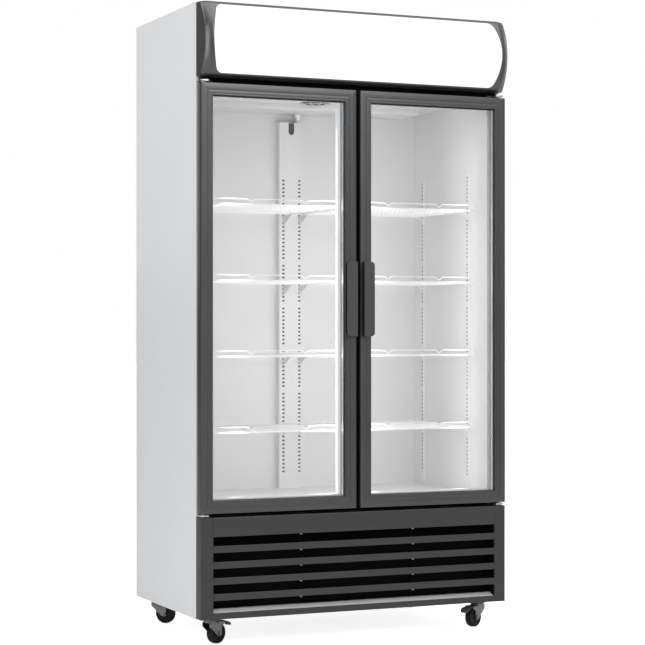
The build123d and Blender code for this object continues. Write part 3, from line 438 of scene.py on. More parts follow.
FINISHES = {
    "case_white": case_enamel,
    "liner_white": liner_enamel,
    "shelf_white": shelf_coat,
    "charcoal_frame": frame_satin,
    "charcoal_sheet": sheet_satin,
    "sign_black": sign_abs,
    "sign_white": sign_diffuser,
    "lamp_white": lamp_diffuser,
    "clear_glass": clear_pane,
    "seal_grey": seal_rubber,
    "bare_aluminium": drawn_aluminium,
    "zinc_steel": zinc_plate,
    "wheel_black": wheel_rubber,
    "brake_grey": pedal_steel,
    "machine_black": pump_enamel,
    "fan_plastic": fan_moulding,
    "foam": foam_cells,
}

for node in frame["nodes"].values():
    for holder in node.material_slots:
        holder.material = FINISHES[holder.material.name]
for holder in frame["nodes"]["condenser_filter"].material_slots:
    holder.material = filter_black_and_shade

JOINTS = {joint["name"]: joint for joint in frame["joints"]}


def corners_of(node):
    """A node's lowest and highest corners as arrays."""
    low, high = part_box(node)
    return np.array(low), np.array(high)


def doubled(shells):
    """The shells and their mirror images across the middle of the case."""
    return shells + [(points * (-1, 1, 1), faces) for points, faces in shells]


# ---------------------------------------------------------------- doors

# the rail's section: inset from the outer edge, depth behind the face, corner radius, in mm
RAIL = [
    (0, 0, 1.2), (19.6, 0, 0.3), (19.6, 1.2, 0.1), (21, 1.2, 0.1), (21, 0, 0.3),
    (30.4, 0, 0.3), (30.4, 0.9, 0.1), (31.4, 0.9, 0.1), (31.4, 0, 0.3), (36, 0, 0.8),
    (36, 6, 0.2), (27, 6, 0.2), (27, 26, 0.2), (36, 26, 0.2), (36, 32, 0.6), (33, 35, 0.6),
    (24, 35, 0.3), (24, 3, 0.3), (2.5, 3, 0.3), (2.5, 35, 0.3), (0, 35, 0.8),
]
MITRE_GAP = 0.00008


def door_frame(side_name):
    """Four lengths of one rail section, mitred.

    A section point at inset i stands at the corner moved inwards by i on both axes.
    """
    low, high = corners_of(f"door_{side_name}_frame")
    section = soft_outline([(i * MM, y * MM) for i, y, _ in RAIL], [r * MM for _, _, r in RAIL], 3)
    inset, depth = section.T
    ends = np.array([(low[0], low[2]), (high[0], low[2]), (high[0], high[2]), (low[0], high[2])])
    inward = np.array([(1, 1), (-1, 1), (-1, -1), (1, -1)])
    rings = np.empty((4, len(section), 3))
    rings[:, :, [0, 2]] = ends[:, None] + inward[:, None] * inset[None, :, None]
    rings[:, :, 1] = low[1] + depth
    shells = []
    for k in range(4):
        pair = rings[[k, (k + 1) % 4]]
        run = pair[1, 0] - pair[0, 0]
        run /= np.linalg.norm(run)
        shells.append(skin(pair + np.array([[run], [-run]]) * MITRE_GAP, around=True, caps=True))
    piece(
        f"door_{side_name}_rails", shells, frame_satin, f"door_{side_name}",
        [f"door_{side_name}_frame"],
    )


def door_handle(side_name, side):
    """A flat pull with its free corners rounded, a wall along its other edge and two end webs."""
    low, high = corners_of(f"door_{side_name}_handle")
    inner, outer = sorted((abs(low[0]), abs(high[0])))
    plate, web, web_reach = 5 * MM, 4 * MM, 15 * MM
    radii = [0.001, 0.013, 0.013, 0.001]
    corners = [(inner, low[2]), (outer, low[2]), (outer, high[2]), (inner, high[2])]
    face = soft_outline(corners, radii, 8)
    shells = [prism(face, 1, low[1], low[1] + plate)]
    shells.append(block((inner, low[1] + plate, low[2]), (inner + plate, high[1], high[2])))
    for z in (low[2], high[2] - web):
        start = (inner + plate, low[1] + plate, z)
        shells.append(block(start, (inner + web_reach, high[1], z + web)))
    shells = [(points * (side, 1, 1), faces) for points, faces in shells]
    piece(
        f"door_{side_name}_pull", shells, frame_satin, f"door_{side_name}",
        [f"door_{side_name}_handle"], bevel=0.0012, segments=3,
    )


for side_name, side in (("left", -1), ("right", 1)):
    door_frame(side_name)
    door_handle(side_name, side)

# ---------------------------------------------------------------- sign

sign_low, sign_high = corners_of("sign_end_caps")
CAP_INNER = 0.481  # where each cap meets the sheet between the caps
CAP_TAPER = 0.0045  # how much narrower the sign is at its front
CAP_ROLL_BACK = 0.0125  # how far a cap's front rolls back at its side
CAP_ROLL_DEPTH = 0.030
CAP_RISE = 0.003
SIGN_EDGE = -0.273  # depth of the front's top and bottom edges
SIGN_ROUND = 0.012
WINDOW_LOW = 1.692
WINDOW_HIGH = 1.895
BOW = SIGN_EDGE - sign_low[1]
SIGN_MID = (sign_low[2] + sign_high[2]) / 2
SIGN_HALF = (sign_high[2] - sign_low[2]) / 2
BOW_R = (SIGN_HALF**2 + BOW**2) / (2 * BOW)
SHEET = 0.0025
LIT_GAP = 0.0002  # clear space between the case and the lit sheet
LIT_SHEET = 0.0032  # back of the lit sheet, behind the case's wall
LIT_MARGIN = 0.006
LIT_OVERLAP = 0.0012


def sign_front(z):
    """Depth of the sign's front at height z: an arc of radius BOW_R.

    A quarter circle of radius SIGN_ROUND rolls it back at its top and bottom.
    """
    h = np.clip(z - SIGN_MID, -SIGN_HALF, SIGN_HALF)
    arc = sign_low[1] + BOW_R - np.sqrt(BOW_R**2 - h**2)
    into = np.clip(SIGN_ROUND - (SIGN_HALF - np.abs(h)), 0, SIGN_ROUND)
    return arc + SIGN_ROUND - np.sqrt(SIGN_ROUND**2 - into**2)


def rounded_heights(low, high, count=36):
    """Heights from low to high, closer together at both ends."""
    return (low + high) / 2 - (high - low) / 2 * np.cos(np.linspace(0, np.pi, count))


def sign_section(rise=0.0):
    """The sign's closed section as (depth, height) points, its top and bottom in by the rise."""
    z = rounded_heights(sign_low[2] + rise, sign_high[2] - rise)
    front = np.stack([sign_front(z), z], axis=1)
    return np.concatenate([[(sign_high[1], z[0])], front, [(sign_high[1], z[-1])]])


def sign_caps():
    """Solid ends, each a section carried outwards from a crease at CAP_INNER.

    With w the share of the way out, the front falls back by CAP_ROLL_BACK * w^1.5, and the
    top and bottom come in by CAP_RISE * w^3. The last ring tapers towards the front.
    """
    flat = sign_section()
    rows = [np.column_stack([np.full(len(flat), CAP_INNER), flat])]
    depth = sign_high[1] - flat[:, 0]
    for way in np.linspace(0, 1, 22):
        section = sign_section(CAP_RISE * way**3)
        section[:, 0] += CAP_ROLL_BACK * way**1.5 * np.clip(depth / CAP_ROLL_DEPTH, 0, 1)
        x = CAP_INNER + (sign_high[0] - CAP_TAPER - CAP_INNER) * way
        rows.append(np.column_stack([np.full(len(section), x), section]))
    section = rows[-1][:, 1:]
    taper = CAP_TAPER * (sign_high[1] - section[:, 0]) / (sign_high[1] - sign_low[1])
    rows[-1] = np.column_stack([np.maximum(sign_high[0] - taper, x), section])
    shells = doubled([skin(np.stack(rows), around=True, caps=True)])
    piece("sign_caps", shells, sign_abs, "cabinet", ["sign_end_caps"], smooth=38)


def window_edge(z):
    """Half-width of the sign's window at height z: a long arc with quarter-circle corners."""
    middle, corner, r = 0.480, 0.459, 0.014
    half = (WINDOW_HIGH - WINDOW_LOW) / 2
    reach = 1 - ((z - (WINDOW_LOW + WINDOW_HIGH) / 2) / half) ** 2
    into = np.clip(r - np.minimum(z - WINDOW_LOW, WINDOW_HIGH - z), 0, r)
    return corner + (middle - corner) * reach - r + np.sqrt(r**2 - into**2)


def sign_shell():
    """A bowed sheet between the caps, with the window left open in it.

    One band lies above the window and one below it, and a strip at each end follows the
    window's edge.
    """
    shells = []
    for low, high, back_z, wall in (
        (sign_low[2], WINDOW_LOW, sign_low[2], SHEET),
        (WINDOW_HIGH, sign_high[2], sign_high[2], -SHEET),
    ):
        z = rounded_heights(low, high, 16)
        outer = np.column_stack([sign_front(z), z])
        inner_z = np.clip(z, sign_low[2] + SHEET, sign_high[2] - SHEET)
        inner = np.column_stack([sign_front(z) + SHEET, inner_z])
        rear = [(sign_high[1], back_z + wall), (sign_high[1], back_z)]
        if wall > 0:
            outline = np.concatenate([outer, inner[::-1], rear])
        else:
            outline = np.concatenate([outer, rear[::-1], inner[::-1]])
        shells.append(prism(outline, 0, -CAP_INNER, CAP_INNER))
    z = rounded_heights(WINDOW_LOW, WINDOW_HIGH, 48)
    edge, front = window_edge(z), sign_front(z)
    wide = np.full(len(z), CAP_INNER)
    strip = np.stack([
        np.column_stack([wide, front, z]),
        np.column_stack([edge, front, z]),
        np.column_stack([edge, front + SHEET, z]),
        np.column_stack([wide, front + SHEET, z]),
    ], axis=1)
    shells += doubled([skin(strip, around=True, caps=True)])
    back_low = (-CAP_INNER, sign_high[1] - SHEET, sign_low[2] + SHEET)
    shells.append(block(back_low, (CAP_INNER, sign_high[1], sign_high[2] - SHEET)))
    piece("sign_case", shells, sign_abs, "cabinet", ["sign_housing"])


def sign_sheet():
    """The lit sheet behind the window: the sign's front curve, set back behind the case."""
    z = rounded_heights(sign_low[2] + LIT_MARGIN, sign_high[2] - LIT_MARGIN, 40)
    outline = np.concatenate([
        np.column_stack([sign_front(z) + SHEET + LIT_GAP, z]),
        np.column_stack([sign_front(z) + SHEET + LIT_SHEET, z])[::-1],
    ])
    shell = prism(outline, 0, -CAP_INNER - LIT_OVERLAP, CAP_INNER + LIT_OVERLAP)
    piece("sign_sheet", [shell], sign_diffuser, "cabinet", ["sign_face"])


sign_caps()
sign_shell()
sign_sheet()

# ---------------------------------------------------------------- grille

GRILLE_SHEET = 0.003
GRILLE_FOLD = 0.006  # depth of the folds along the grille's edges
POST_INNER = 0.4702
BAND_END = POST_INNER - 0.0004
BAND_FOOT = 0.3264
SILL_TOP = 0.1028
SILL_BACK = 0.087
LEDGE_BACK_Y = -0.249
LOUVRES = 4
LOUVRE_PITCH = 0.0469
LOUVRE_GAP = 0.0267
RIB_X = 0.187

def louvre(row, face, inner):
    """The section of one blade, from the top: a flat front with a slope behind its upper edge."""
    z_high = BAND_FOOT - row * LOUVRE_PITCH - LOUVRE_GAP
    z_low = BAND_FOOT - (row + 1) * LOUVRE_PITCH
    return soft_outline([
        (face, z_low), (face, z_high), (inner, z_high), (inner + 0.012, z_high - 0.014),
        (inner + 0.010, z_high - 0.0155), (inner - 0.002, z_low),
    ], [0.0014, 0.0014, 0.0012, 0.0004, 0.0004, 0.0010])


def grille():
    """Bent sheet: posts, a top band, a sill with its sloped ledge, and the louvre blades.

    Behind the blades stand two ribs with a tab at each gap, and a dark strip at each post: painted
    shade on the case's white side in the shadow behind the posts.
    """
    low, high = corners_of("grille_panel")
    face, back = low[1], high[1]
    inner = face + GRILLE_FOLD
    side_in, top_in = high[0] - GRILLE_SHEET, high[2] - GRILLE_SHEET
    shells = doubled([prism(soft_outline([
        (high[0], back), (high[0], face), (POST_INNER, face), (POST_INNER, inner),
        (side_in, inner), (side_in, back),
    ], [0.0003, 0.003, 0.0008, 0.0005, 0.0005, 0.0003]), 2, low[2], high[2])])
    shells.append(prism(soft_outline([
        (face, BAND_FOOT), (face, high[2]), (back, high[2]), (back, top_in), (inner, top_in),
        (inner, BAND_FOOT),
    ], [0.0014, 0.0026, 0.0003, 0.0003, 0.0005, 0.0014]), 0, -BAND_END, BAND_END))
    shells.append(block((-side_in, inner, top_in), (side_in, back, high[2] - 0.0002)))
    shells.append(prism(soft_outline([
        (face, low[2]), (face, SILL_TOP), (inner, SILL_TOP), (inner, SILL_BACK),
        (back, SILL_BACK), (back, low[2]),
    ], [0.002, 0.0012, 0.001, 0.0005, 0.0005, 0.0005]), 0, -BAND_END, BAND_END))
    ledge = soft_outline([
        (inner + 0.0003, 0.1024), (LEDGE_BACK_Y, 0.112), (LEDGE_BACK_Y, 0.088),
        (inner + 0.0003, 0.088),
    ], 0.001)
    ledge_shell = prism(ledge, 0, -BAND_END, BAND_END)
    piece("grille_ledge", [ledge_shell], ledge_painted_light, "cabinet", smooth=40)
    for row in range(LOUVRES):
        shells.append(prism(louvre(row, face, inner), 0, -BAND_END, BAND_END))
    ribs, tabs = [], []
    for x in (-RIB_X, RIB_X):
        rib_low = (x - 0.002, inner + 0.0125, 0.1190)
        ribs.append(block(rib_low, (x + 0.002, inner + 0.024, BAND_FOOT + 0.008), 0.0006))
        for row in range(LOUVRES + 1):
            z = BAND_FOOT - row * LOUVRE_PITCH
            tab_low = (x - 0.0025, inner - 0.002, z - 0.0032)
            tabs.append(block(tab_low, (x + 0.0025, inner + 0.004, z - 0.0002), 0.0006))
    piece("grille_ribs", ribs, filter_black_and_shade, "cabinet")
    piece("grille_tabs", tabs, seal_rubber, "cabinet")
    # painted shade: a dark strip where the case's white side lies in shadow behind each post
    post_shade_low = (POST_INNER + 0.0002, inner + 0.0002, low[2] + 0.012)
    post_shade = block(post_shade_low, (POST_INNER + 0.0016, inner + 0.095, BAND_FOOT + 0.006), 0.0005)
    piece("grille_post_shade", doubled([post_shade]), filter_black_and_shade, "cabinet")
    piece("grille_sheet", shells, sheet_satin, "cabinet", ["grille_panel"])


grille()

# ---------------------------------------------------------------- shelves

RODS = 27
BRACES = 5
NOTCHES = (0.140, 0.317)
NOTCH_HALF = 0.012
BORDER_R = 0.003
WIRE_R = 0.0016
BRACE_R = 0.0022


def shelf(level):
    """Welded round wire: a border with rounded corners, wires across it and braces under them.

    A thinner wire runs along the front and dips at each notch.
    """
    node = f"shelf_level_{level}"
    low, high = corners_of(node)
    top = high[2] - 0.015
    x0, x1, y0, y1 = 0.0148, high[0], low[1], high[1]
    r = BORDER_R
    middle = top - r
    corners = [(x0 + r, y0 + r), (x1 - r, y0 + r), (x1 - r, y1 - r), (x0 + r, y1 - r)]
    border = soft_outline(corners, 0.012, 5)
    shells = [rod(np.column_stack([border, np.full(len(border), middle)]), r, 10, closed=True)]
    for x in np.linspace(x0 + 0.018, x1 - 0.018, RODS):
        wire = [(x, y0 + r, top - WIRE_R), (x, y1 - r, top - WIRE_R)]
        shells.append(rod(wire, WIRE_R, 6))
    for y in np.linspace(y0 + 0.075, y1 - 0.055, BRACES):
        brace = [(x0 + r, y, middle - 0.0006), (x1 - r, y, middle - 0.0006)]
        shells.append(rod(brace, BRACE_R, 8))
    rail_z = high[2] - WIRE_R
    left, right = x0 + 0.009, x1 - 0.009
    path = [(left, top - 0.001), (left, rail_z)]
    for x in NOTCHES:
        path += [(x - NOTCH_HALF, rail_z), (x, top + 0.0025), (x + NOTCH_HALF, rail_z)]
    path += [(right, rail_z), (right, top - 0.001)]
    bends = soft_outline(path, 0.0025, 3)[4:-4]
    bends = np.concatenate([[path[0]], bends, [path[-1]]])
    front = np.column_stack([bends[:, 0], np.full(len(bends), y0 + 0.0028), bends[:, 1]])
    shells.append(rod(front, WIRE_R, 8))
    name = f"shelf_wires_{level}"
    piece(name, doubled(shells), shelf_coat, "cabinet", [node], smooth=60)


for level in range(1, 5):
    shelf(level)

# ---------------------------------------------------------------- fan guard


def fan_guard():
    """Rings on a shallow dome, crossed by eight ribs, with the motor and its strap above.

    A ring of radius r hangs below the ceiling by drop * (1 - (r / reach)^2).
    """
    low, high = corners_of("fan_guard")
    centre = (low + high) / 2
    ceiling = low[2] + 0.015
    reach, drop, wire = 0.0535, 0.0135, 0.0009
    turn = np.linspace(0, 2 * np.pi, 40, endpoint=False)
    shells = []
    for radius in np.linspace(0.014, reach, 4):
        z = ceiling - drop * (1 - (radius / reach) ** 2) - wire * 0.2
        x, y = centre[0] + radius * np.cos(turn), centre[1] + radius * np.sin(turn)
        shells.append(rod(np.column_stack([x, y, np.full(len(turn), z)]), wire, 6, closed=True))
    along = np.linspace(0.010, reach, 9)
    for angle in np.arange(8) * np.pi / 4:
        z = ceiling - drop * (1 - (along / reach) ** 2)
        x, y = centre[0] + along * math.cos(angle), centre[1] + along * math.sin(angle)
        shells.append(rod(np.column_stack([x, y, z]), 0.0014, 6))
    hub = [(0, -0.0148), (0.011, -0.0142), (0.014, -0.0125), (0.014, -0.0105), (0, -0.0105)]
    shells.append(lathe(hub, (centre[0], centre[1], ceiling), (0, 0, 1)))
    strap_low = high[2] - 0.003
    motor_low, motor_high = ceiling + 0.043, strap_low
    motor = [
        (0, motor_low), (0.019, motor_low), (0.0235, motor_low + 0.004),
        (0.024, motor_low + 0.010), (0.024, motor_high), (0, motor_high),
    ]
    shells.append(lathe(motor, (centre[0], centre[1], 0), (0, 0, 1)))
    for side in (-1, 1):
        foot = sorted((side * 0.059, side * 0.065))
        strap = sorted((0.0, side * 0.065))
        y = (centre[1] - 0.006, centre[1] + 0.006)
        foot_low = (foot[0], y[0], ceiling + 0.002)
        shells.append(block(foot_low, (foot[1], y[1], strap_low), 0.001))
        shells.append(block((strap[0], y[0], strap_low), (strap[1], y[1], high[2]), 0.001))
    piece("fan_grille", shells, liner_enamel, "cabinet", ["fan_guard"], smooth=50)


fan_guard()

# ---------------------------------------------------------------- hinges

HINGE_PIN = (0.494, -0.259, 0)
HINGE_PLATE = 0.0045
# each hinge's heights: its plate's underside, its pin's ends and its washer's ends
HINGE_LEVELS = (
    (1.668, 1.641, 1.6725, 1.6632, 1.668),
    (0.3865, 0.3865, 0.417, 0.391, 0.3948),
)

def hinges():
    """Plates with rounded free corners, each with its pin and a washer.

    A narrow tab runs inwards behind each door. The tabs are the plates' zinc but take a dark finish:
    painted shade, as they lie in shadow behind the doors.
    """
    plates, tabs = [], []
    for z, pin_low, pin_high, washer_low, washer_high in HINGE_LEVELS:
        top = z + HINGE_PLATE
        outline = [(0.4795, -0.2375), (0.5078, -0.2375), (0.5078, -0.2745), (0.4795, -0.2745)]
        plates.append(prism(soft_outline(outline, [0.001, 0.001, 0.012, 0.006], 6), 2, z, top))
        tabs.append(block((0.462, -0.2485, z + 0.0003), (0.4796, -0.2375, top - 0.0003), 0.003))
        pin = [
            (0, pin_low), (0.0034, pin_low), (0.004, pin_low + 0.0008),
            (0.004, pin_high - 0.0008), (0.0034, pin_high), (0, pin_high),
        ]
        washer = [
            (0.0041, washer_low), (0.0068, washer_low), (0.0072, washer_low + 0.0005),
            (0.0072, washer_high - 0.0004), (0.0041, washer_high),
        ]
        for section in (pin, washer):
            plates.append(lathe(section, HINGE_PIN, (0, 0, 1), 28))
    piece("hinge_plates", doubled(plates), zinc_plate, "cabinet", ["hinge_brackets"], smooth=40)
    # painted shade: the tabs take a dark finish for the shadow they lie in
    piece("shaded_hinge_tabs", doubled(tabs), slot_shade, "cabinet", smooth=40)


hinges()

# ---------------------------------------------------------------- inside the case


def opening_surround():
    """One section carried round the opening and mitred, and a channel down its middle.

    A section point at share t stands at share t of the way from the outer corner to the
    inner one, and the free edge is eased.
    """
    low, high = corners_of("opening_frame")
    outer = np.array([(low[0], low[2]), (high[0], low[2]), (high[0], high[2]), (low[0], high[2])])
    jamb, sill, lintel = 0.466, 0.436, 1.636
    inner = np.array([(-jamb, sill), (jamb, sill), (jamb, lintel), (-jamb, lintel)])
    share = np.array([0, 0.95, 0.985, 1, 1, 0])
    depth = np.array([low[1], low[1], low[1] + 0.0006, low[1] + 0.002, high[1], high[1]])
    rings = np.empty((4, len(share), 3))
    rings[:, :, [0, 2]] = outer[:, None] + (inner - outer)[:, None] * share[None, :, None]
    rings[:, :, 1] = depth
    surround = skin(rings, around=True, along=True)
    piece("opening_surround", [surround], liner_enamel, "cabinet", ["opening_frame"])
    low, high = corners_of("centre_mullion")
    wall = 0.003
    left_in, right_in, front_in = low[0] + wall, high[0] - wall, low[1] + wall
    channel = soft_outline([
        (low[0], high[1]), (low[0], low[1]), (high[0], low[1]), (high[0], high[1]),
        (right_in, high[1]), (right_in, front_in), (left_in, front_in), (left_in, high[1]),
    ], [0.0004, 0.002, 0.002, 0.0004, 0.0004, 0.001, 0.001, 0.0004])
    post = prism(channel, 2, low[2], lintel)
    piece("mullion_channel", [post], liner_enamel, "cabinet", ["centre_mullion"])


# painted shade: dark strips standing for the shadow in the gaps over, between and under the doors: low
# corner, high corner, long axis
GAP_SHADE_STRIPS = {
    "head_gap_shade": ((-0.500, -0.2402, 1.6640), (0.500, -0.2371, 1.6798), 0),
    "middle_gap_shade": ((-0.0115, -0.2395, 0.3960), (0.0115, -0.2371, 1.6630), 2),
    "foot_gap_shade": ((-0.500, -0.2402, 0.3844), (0.500, -0.2371, 0.3955), 0),
}


def gap_shade_strips():
    """Plain dark strips with eased edges, one for each gap round the doors: painted shade in the gaps.
    """
    for name, (low, high, axis) in GAP_SHADE_STRIPS.items():
        piece(name, [block(low, high, 0.0008, axis)], filter_black_and_shade, "cabinet")


def slot_shade_strips():
    """Dark strips inside the slotted channel and the four pilasters, seen through their slots: painted
    shade for the shadow inside them.
    """
    low, high = corners_of("shelf_channel")
    hooks_z = high[2] - 0.10
    left, right = low[0] + 0.002, high[0] - 0.002
    near, far = low[1] + 0.0022, low[1] + 0.0027
    # a mid-grey strip behind the hook slots at the top: painted shade, lighter than the black below
    upper = block((left, near, hooks_z), (right, far, high[2] - 0.003))
    piece("hook_shade_strip", [upper], slot_shade, "cabinet")
    shells = [block((left, near, low[2] + 0.02), (right, far, hooks_z - 0.001))]
    low, high = corners_of("shelf_pilasters")
    half = 0.0072
    strips = []
    for y in (-0.114, 0.204):
        strip_low = (high[0] - 0.0048, y - half, low[2] + 0.002)
        strips.append(block(strip_low, (high[0] - 0.0044, y + half, high[2] - 0.002)))
    piece("slot_shade_strips", shells + doubled(strips), filter_black_and_shade, "cabinet")


def tray_box():
    """The drip tray as a folded sheet: its floor and front bent as one, with two ends."""
    low, high = corners_of("drip_tray")
    sheet = 0.0015
    fold = soft_outline([
        (high[1], low[2]), (low[1], low[2]), (low[1], high[2]), (low[1] + sheet, high[2]),
        (low[1] + sheet, low[2] + sheet), (high[1], low[2] + sheet),
    ], [0.0003, 0.004, 0.0003, 0.0003, 0.0026, 0.0003])
    shells = [prism(fold, 0, low[0] + sheet, high[0] - sheet)]
    inset = 0.0002
    end = soft_outline([
        (low[1] + inset, low[2] + inset), (high[1], low[2]), (high[1], high[2]),
        (low[1] + inset, high[2]),
    ], [0.004, 0.0003, 0.0003, 0.0003])
    shells += doubled([prism(end, 0, high[0] - sheet, high[0])])
    piece("tray_box", shells, liner_enamel, "cabinet", ["drip_tray"])


def drain_spout():
    """A collar under the tray and a narrower tube out of it, turned from one section."""
    z = corners_of("drip_tray")[0][2]
    section = [
        (0.0048, z), (0.0110, z), (0.0112, z - 0.002), (0.0106, z - 0.012), (0.0070, z - 0.0145),
        (0.0066, z - 0.030), (0.0060, z - 0.031), (0.0048, z - 0.030),
    ]
    spout = lathe(section, (0.027, 0.2520, 0), (0, 0, 1), 32)
    piece("drain_spout", [spout], shelf_coat, "cabinet", ["drain_elbow"], smooth=40)


def fan_throat():
    """A dark ring with a back plate round the fan, and a dark dome inside the guard: painted shade for
    the fan's opening, which lies in shadow behind the guard, together with the fan's own black parts.

    The dome hangs at 1.6587 - dip * (1 - (r / R)^2) at radius r.
    """
    section = [
        (0.0480, 1.6612), (0.0540, 1.6612), (0.0540, 1.7014), (0.0, 1.7014),
        (0.0, 1.7002), (0.0525, 1.7002), (0.0525, 1.6625), (0.0480, 1.6620),
    ]
    low, high = corners_of("fan_guard")
    x, y, _ = (low + high) / 2
    shade_dome_r, dip, thick = 0.0505, 0.0118, 0.0008
    r = np.linspace(0, shade_dome_r, 12)
    under = 1.6587 - dip * (1 - (r / shade_dome_r) ** 2)
    dome = np.concatenate([
        np.column_stack([r, under]), np.column_stack([r, under + thick])[::-1],
    ])
    shade_dome = lathe(dome, (x, y, 0), (0, 0, 1))
    # painted shade: the dark dome stands for the shadowed fan opening, with the fan's black parts in it
    piece("fan_shade_dome", [shade_dome], sign_abs, "cabinet", smooth=60)
    ring = lathe(section, (x, y, 0), (0, 0, 1))
    piece("fan_throat", [ring], slot_shade, "cabinet", smooth=40)


opening_surround()
gap_shade_strips()
slot_shade_strips()
tray_box()
drain_spout()
fan_throat()

# ---------------------------------------------------------------- casters

CORNERS = ("front_left", "front_right", "rear_left", "rear_right")


def set_at(corner, shells):
    """Shells drawn with x back from a caster's stem and y along its axle, moved to its corner."""
    stem = JOINTS[f"swivel_{corner}_turn"]["pos_m"]
    axle = np.array(JOINTS[f"wheel_{corner}_spin"]["axis"])
    turn = np.array([(axle[1], -axle[0], 0), axle, (0, 0, 1)])
    return [(points @ turn + (stem[0], stem[1], 0), faces) for points, faces in shells]


TRAIL = 0.024  # from the stem back to the axle
WHEEL_R = 0.03175
LEG_OUT = 0.0155  # from the middle to the outside of a fork leg
BOLT_END = 0.0185
NUT_R = 0.0068
NUT_END = 0.0183
PIVOT = (0.041, 0, 0.064)
PLATE_LOW = 0.0795
PLATE_HIGH = 0.082


def fork(corner):
    """A stamped fork: at each station x a bent strip down one leg, over the crown and down the other.

    Its corners have the radius r, and the legs' length follows their outline.
    """
    tail = 0.047 if corner.startswith("front") else 0.032
    outline_x = np.array([-0.020, -0.014, 0.000, 0.013, 0.018, 0.030, 0.0325, 0.0335, 0.047])
    outline_z = np.array([0.0555, 0.0500, 0.0380, 0.0265, 0.0235, 0.0235, 0.0260, 0.0530, 0.0600])
    x = np.unique(np.concatenate([np.linspace(-0.020, tail, 34), outline_x[outline_x <= tail]]))
    foot = np.interp(x, outline_x, outline_z)
    r, crown, wall = 0.004, 0.0685, 0.0025
    turn = np.linspace(0, np.pi / 2, 6)

    def strip(side_out, top, radius):
        y = np.concatenate([[side_out], side_out - radius + radius * np.cos(turn)])
        z = np.concatenate([[0], top - radius + radius * np.sin(turn)])
        return np.concatenate([y, -y[::-1]]), np.concatenate([z, z[::-1]])

    outer_y, outer_z = strip(LEG_OUT, crown, r)
    inner_y, inner_z = strip(LEG_OUT - wall, crown - wall, r - wall)
    y = np.concatenate([outer_y, inner_y[::-1]])
    z = np.tile(np.concatenate([outer_z, inner_z[::-1]]), (len(x), 1))
    z[z == 0] = np.repeat(foot, 4)
    grid = np.stack([np.repeat(x[:, None], len(y), 1), np.tile(y, (len(x), 1)), z], axis=-1)
    shells = [skin(grid, around=True, caps=True)]
    cup = [
        (0.0052, 0.0660), (0.0205, 0.0660), (0.0210, 0.0680), (0.0210, 0.0705),
        (0.0195, 0.0712), (0.0052, 0.0712),
    ]
    shells.append(lathe(cup, (0, 0, 0), (0, 0, 1)))
    bolt = [
        (0, -BOLT_END), (0.0035, -BOLT_END), (0.004, -0.0178), (0.004, 0.0178),
        (0.0035, BOLT_END), (0, BOLT_END),
    ]
    shells.append(lathe(bolt, (TRAIL, 0, WHEEL_R), (0, 1, 0), 20))
    hexagon = [
        (TRAIL + NUT_R * math.cos(a), WHEEL_R + NUT_R * math.sin(a))
        for a in np.arange(6) * np.pi / 3
    ]
    for span in ((-NUT_END, -LEG_OUT), (LEG_OUT, NUT_END)):
        shells.append(prism(soft_outline(hexagon, 0.0006, 2), 1, *span))
        washer = [(0, 0.0), (0.0078, 0.0), (0.0078, 0.0009), (0, 0.0009)]
        facing = (0, 1, 0) if span[0] > 0 else (0, -1, 0)
        centre = (TRAIL, math.copysign(LEG_OUT, span[0]), WHEEL_R)
        shells.append(lathe(washer, centre, facing, 24))
    piece(
        f"fork_{corner}", set_at(corner, shells), shaded_caster_zinc, f"swivel_{corner}",
        [f"caster_fork_{corner}"], smooth=40,
    )


def wheel(corner):
    """A solid tyre turned from its section, with a rounded tread and a dished hub on each side."""
    half, r = 0.0115, WHEEL_R
    turn = np.linspace(0, np.pi, 13)
    tread = np.column_stack([r - 0.0035 + 0.0035 * np.sin(turn) ** 0.8, half * np.cos(turn)])
    far = [
        (0.0255, -half), (0.0245, -half + 0.0012), (0.0235, -half + 0.0030),
        (0.0120, -half + 0.0034), (0.0098, -half + 0.0012), (0.0090, -half), (0.0041, -half),
    ]
    near = [(a, -b) for a, b in far[::-1]]
    outline = np.concatenate([tread, far, near])
    shells = [lathe(outline, (TRAIL, 0, r), (0, 1, 0), 56)]
    for angle in np.arange(5) * 2 * np.pi / 5:
        spoke = np.array([(0.0105, -0.0016), (0.0238, -0.0016), (0.0238, 0.0016), (0.0105, 0.0016)])
        cos, sin = math.cos(angle), math.sin(angle)
        turned = spoke @ np.array([(cos, sin), (-sin, cos)]) + (TRAIL, r)
        shells.append(prism(turned, 1, -half + 0.0014, half - 0.0014))
    piece(
        f"tyre_{corner}", set_at(corner, shells), wheel_rubber, f"wheel_{corner}",
        [f"caster_wheel_{corner}"], smooth=40,
    )


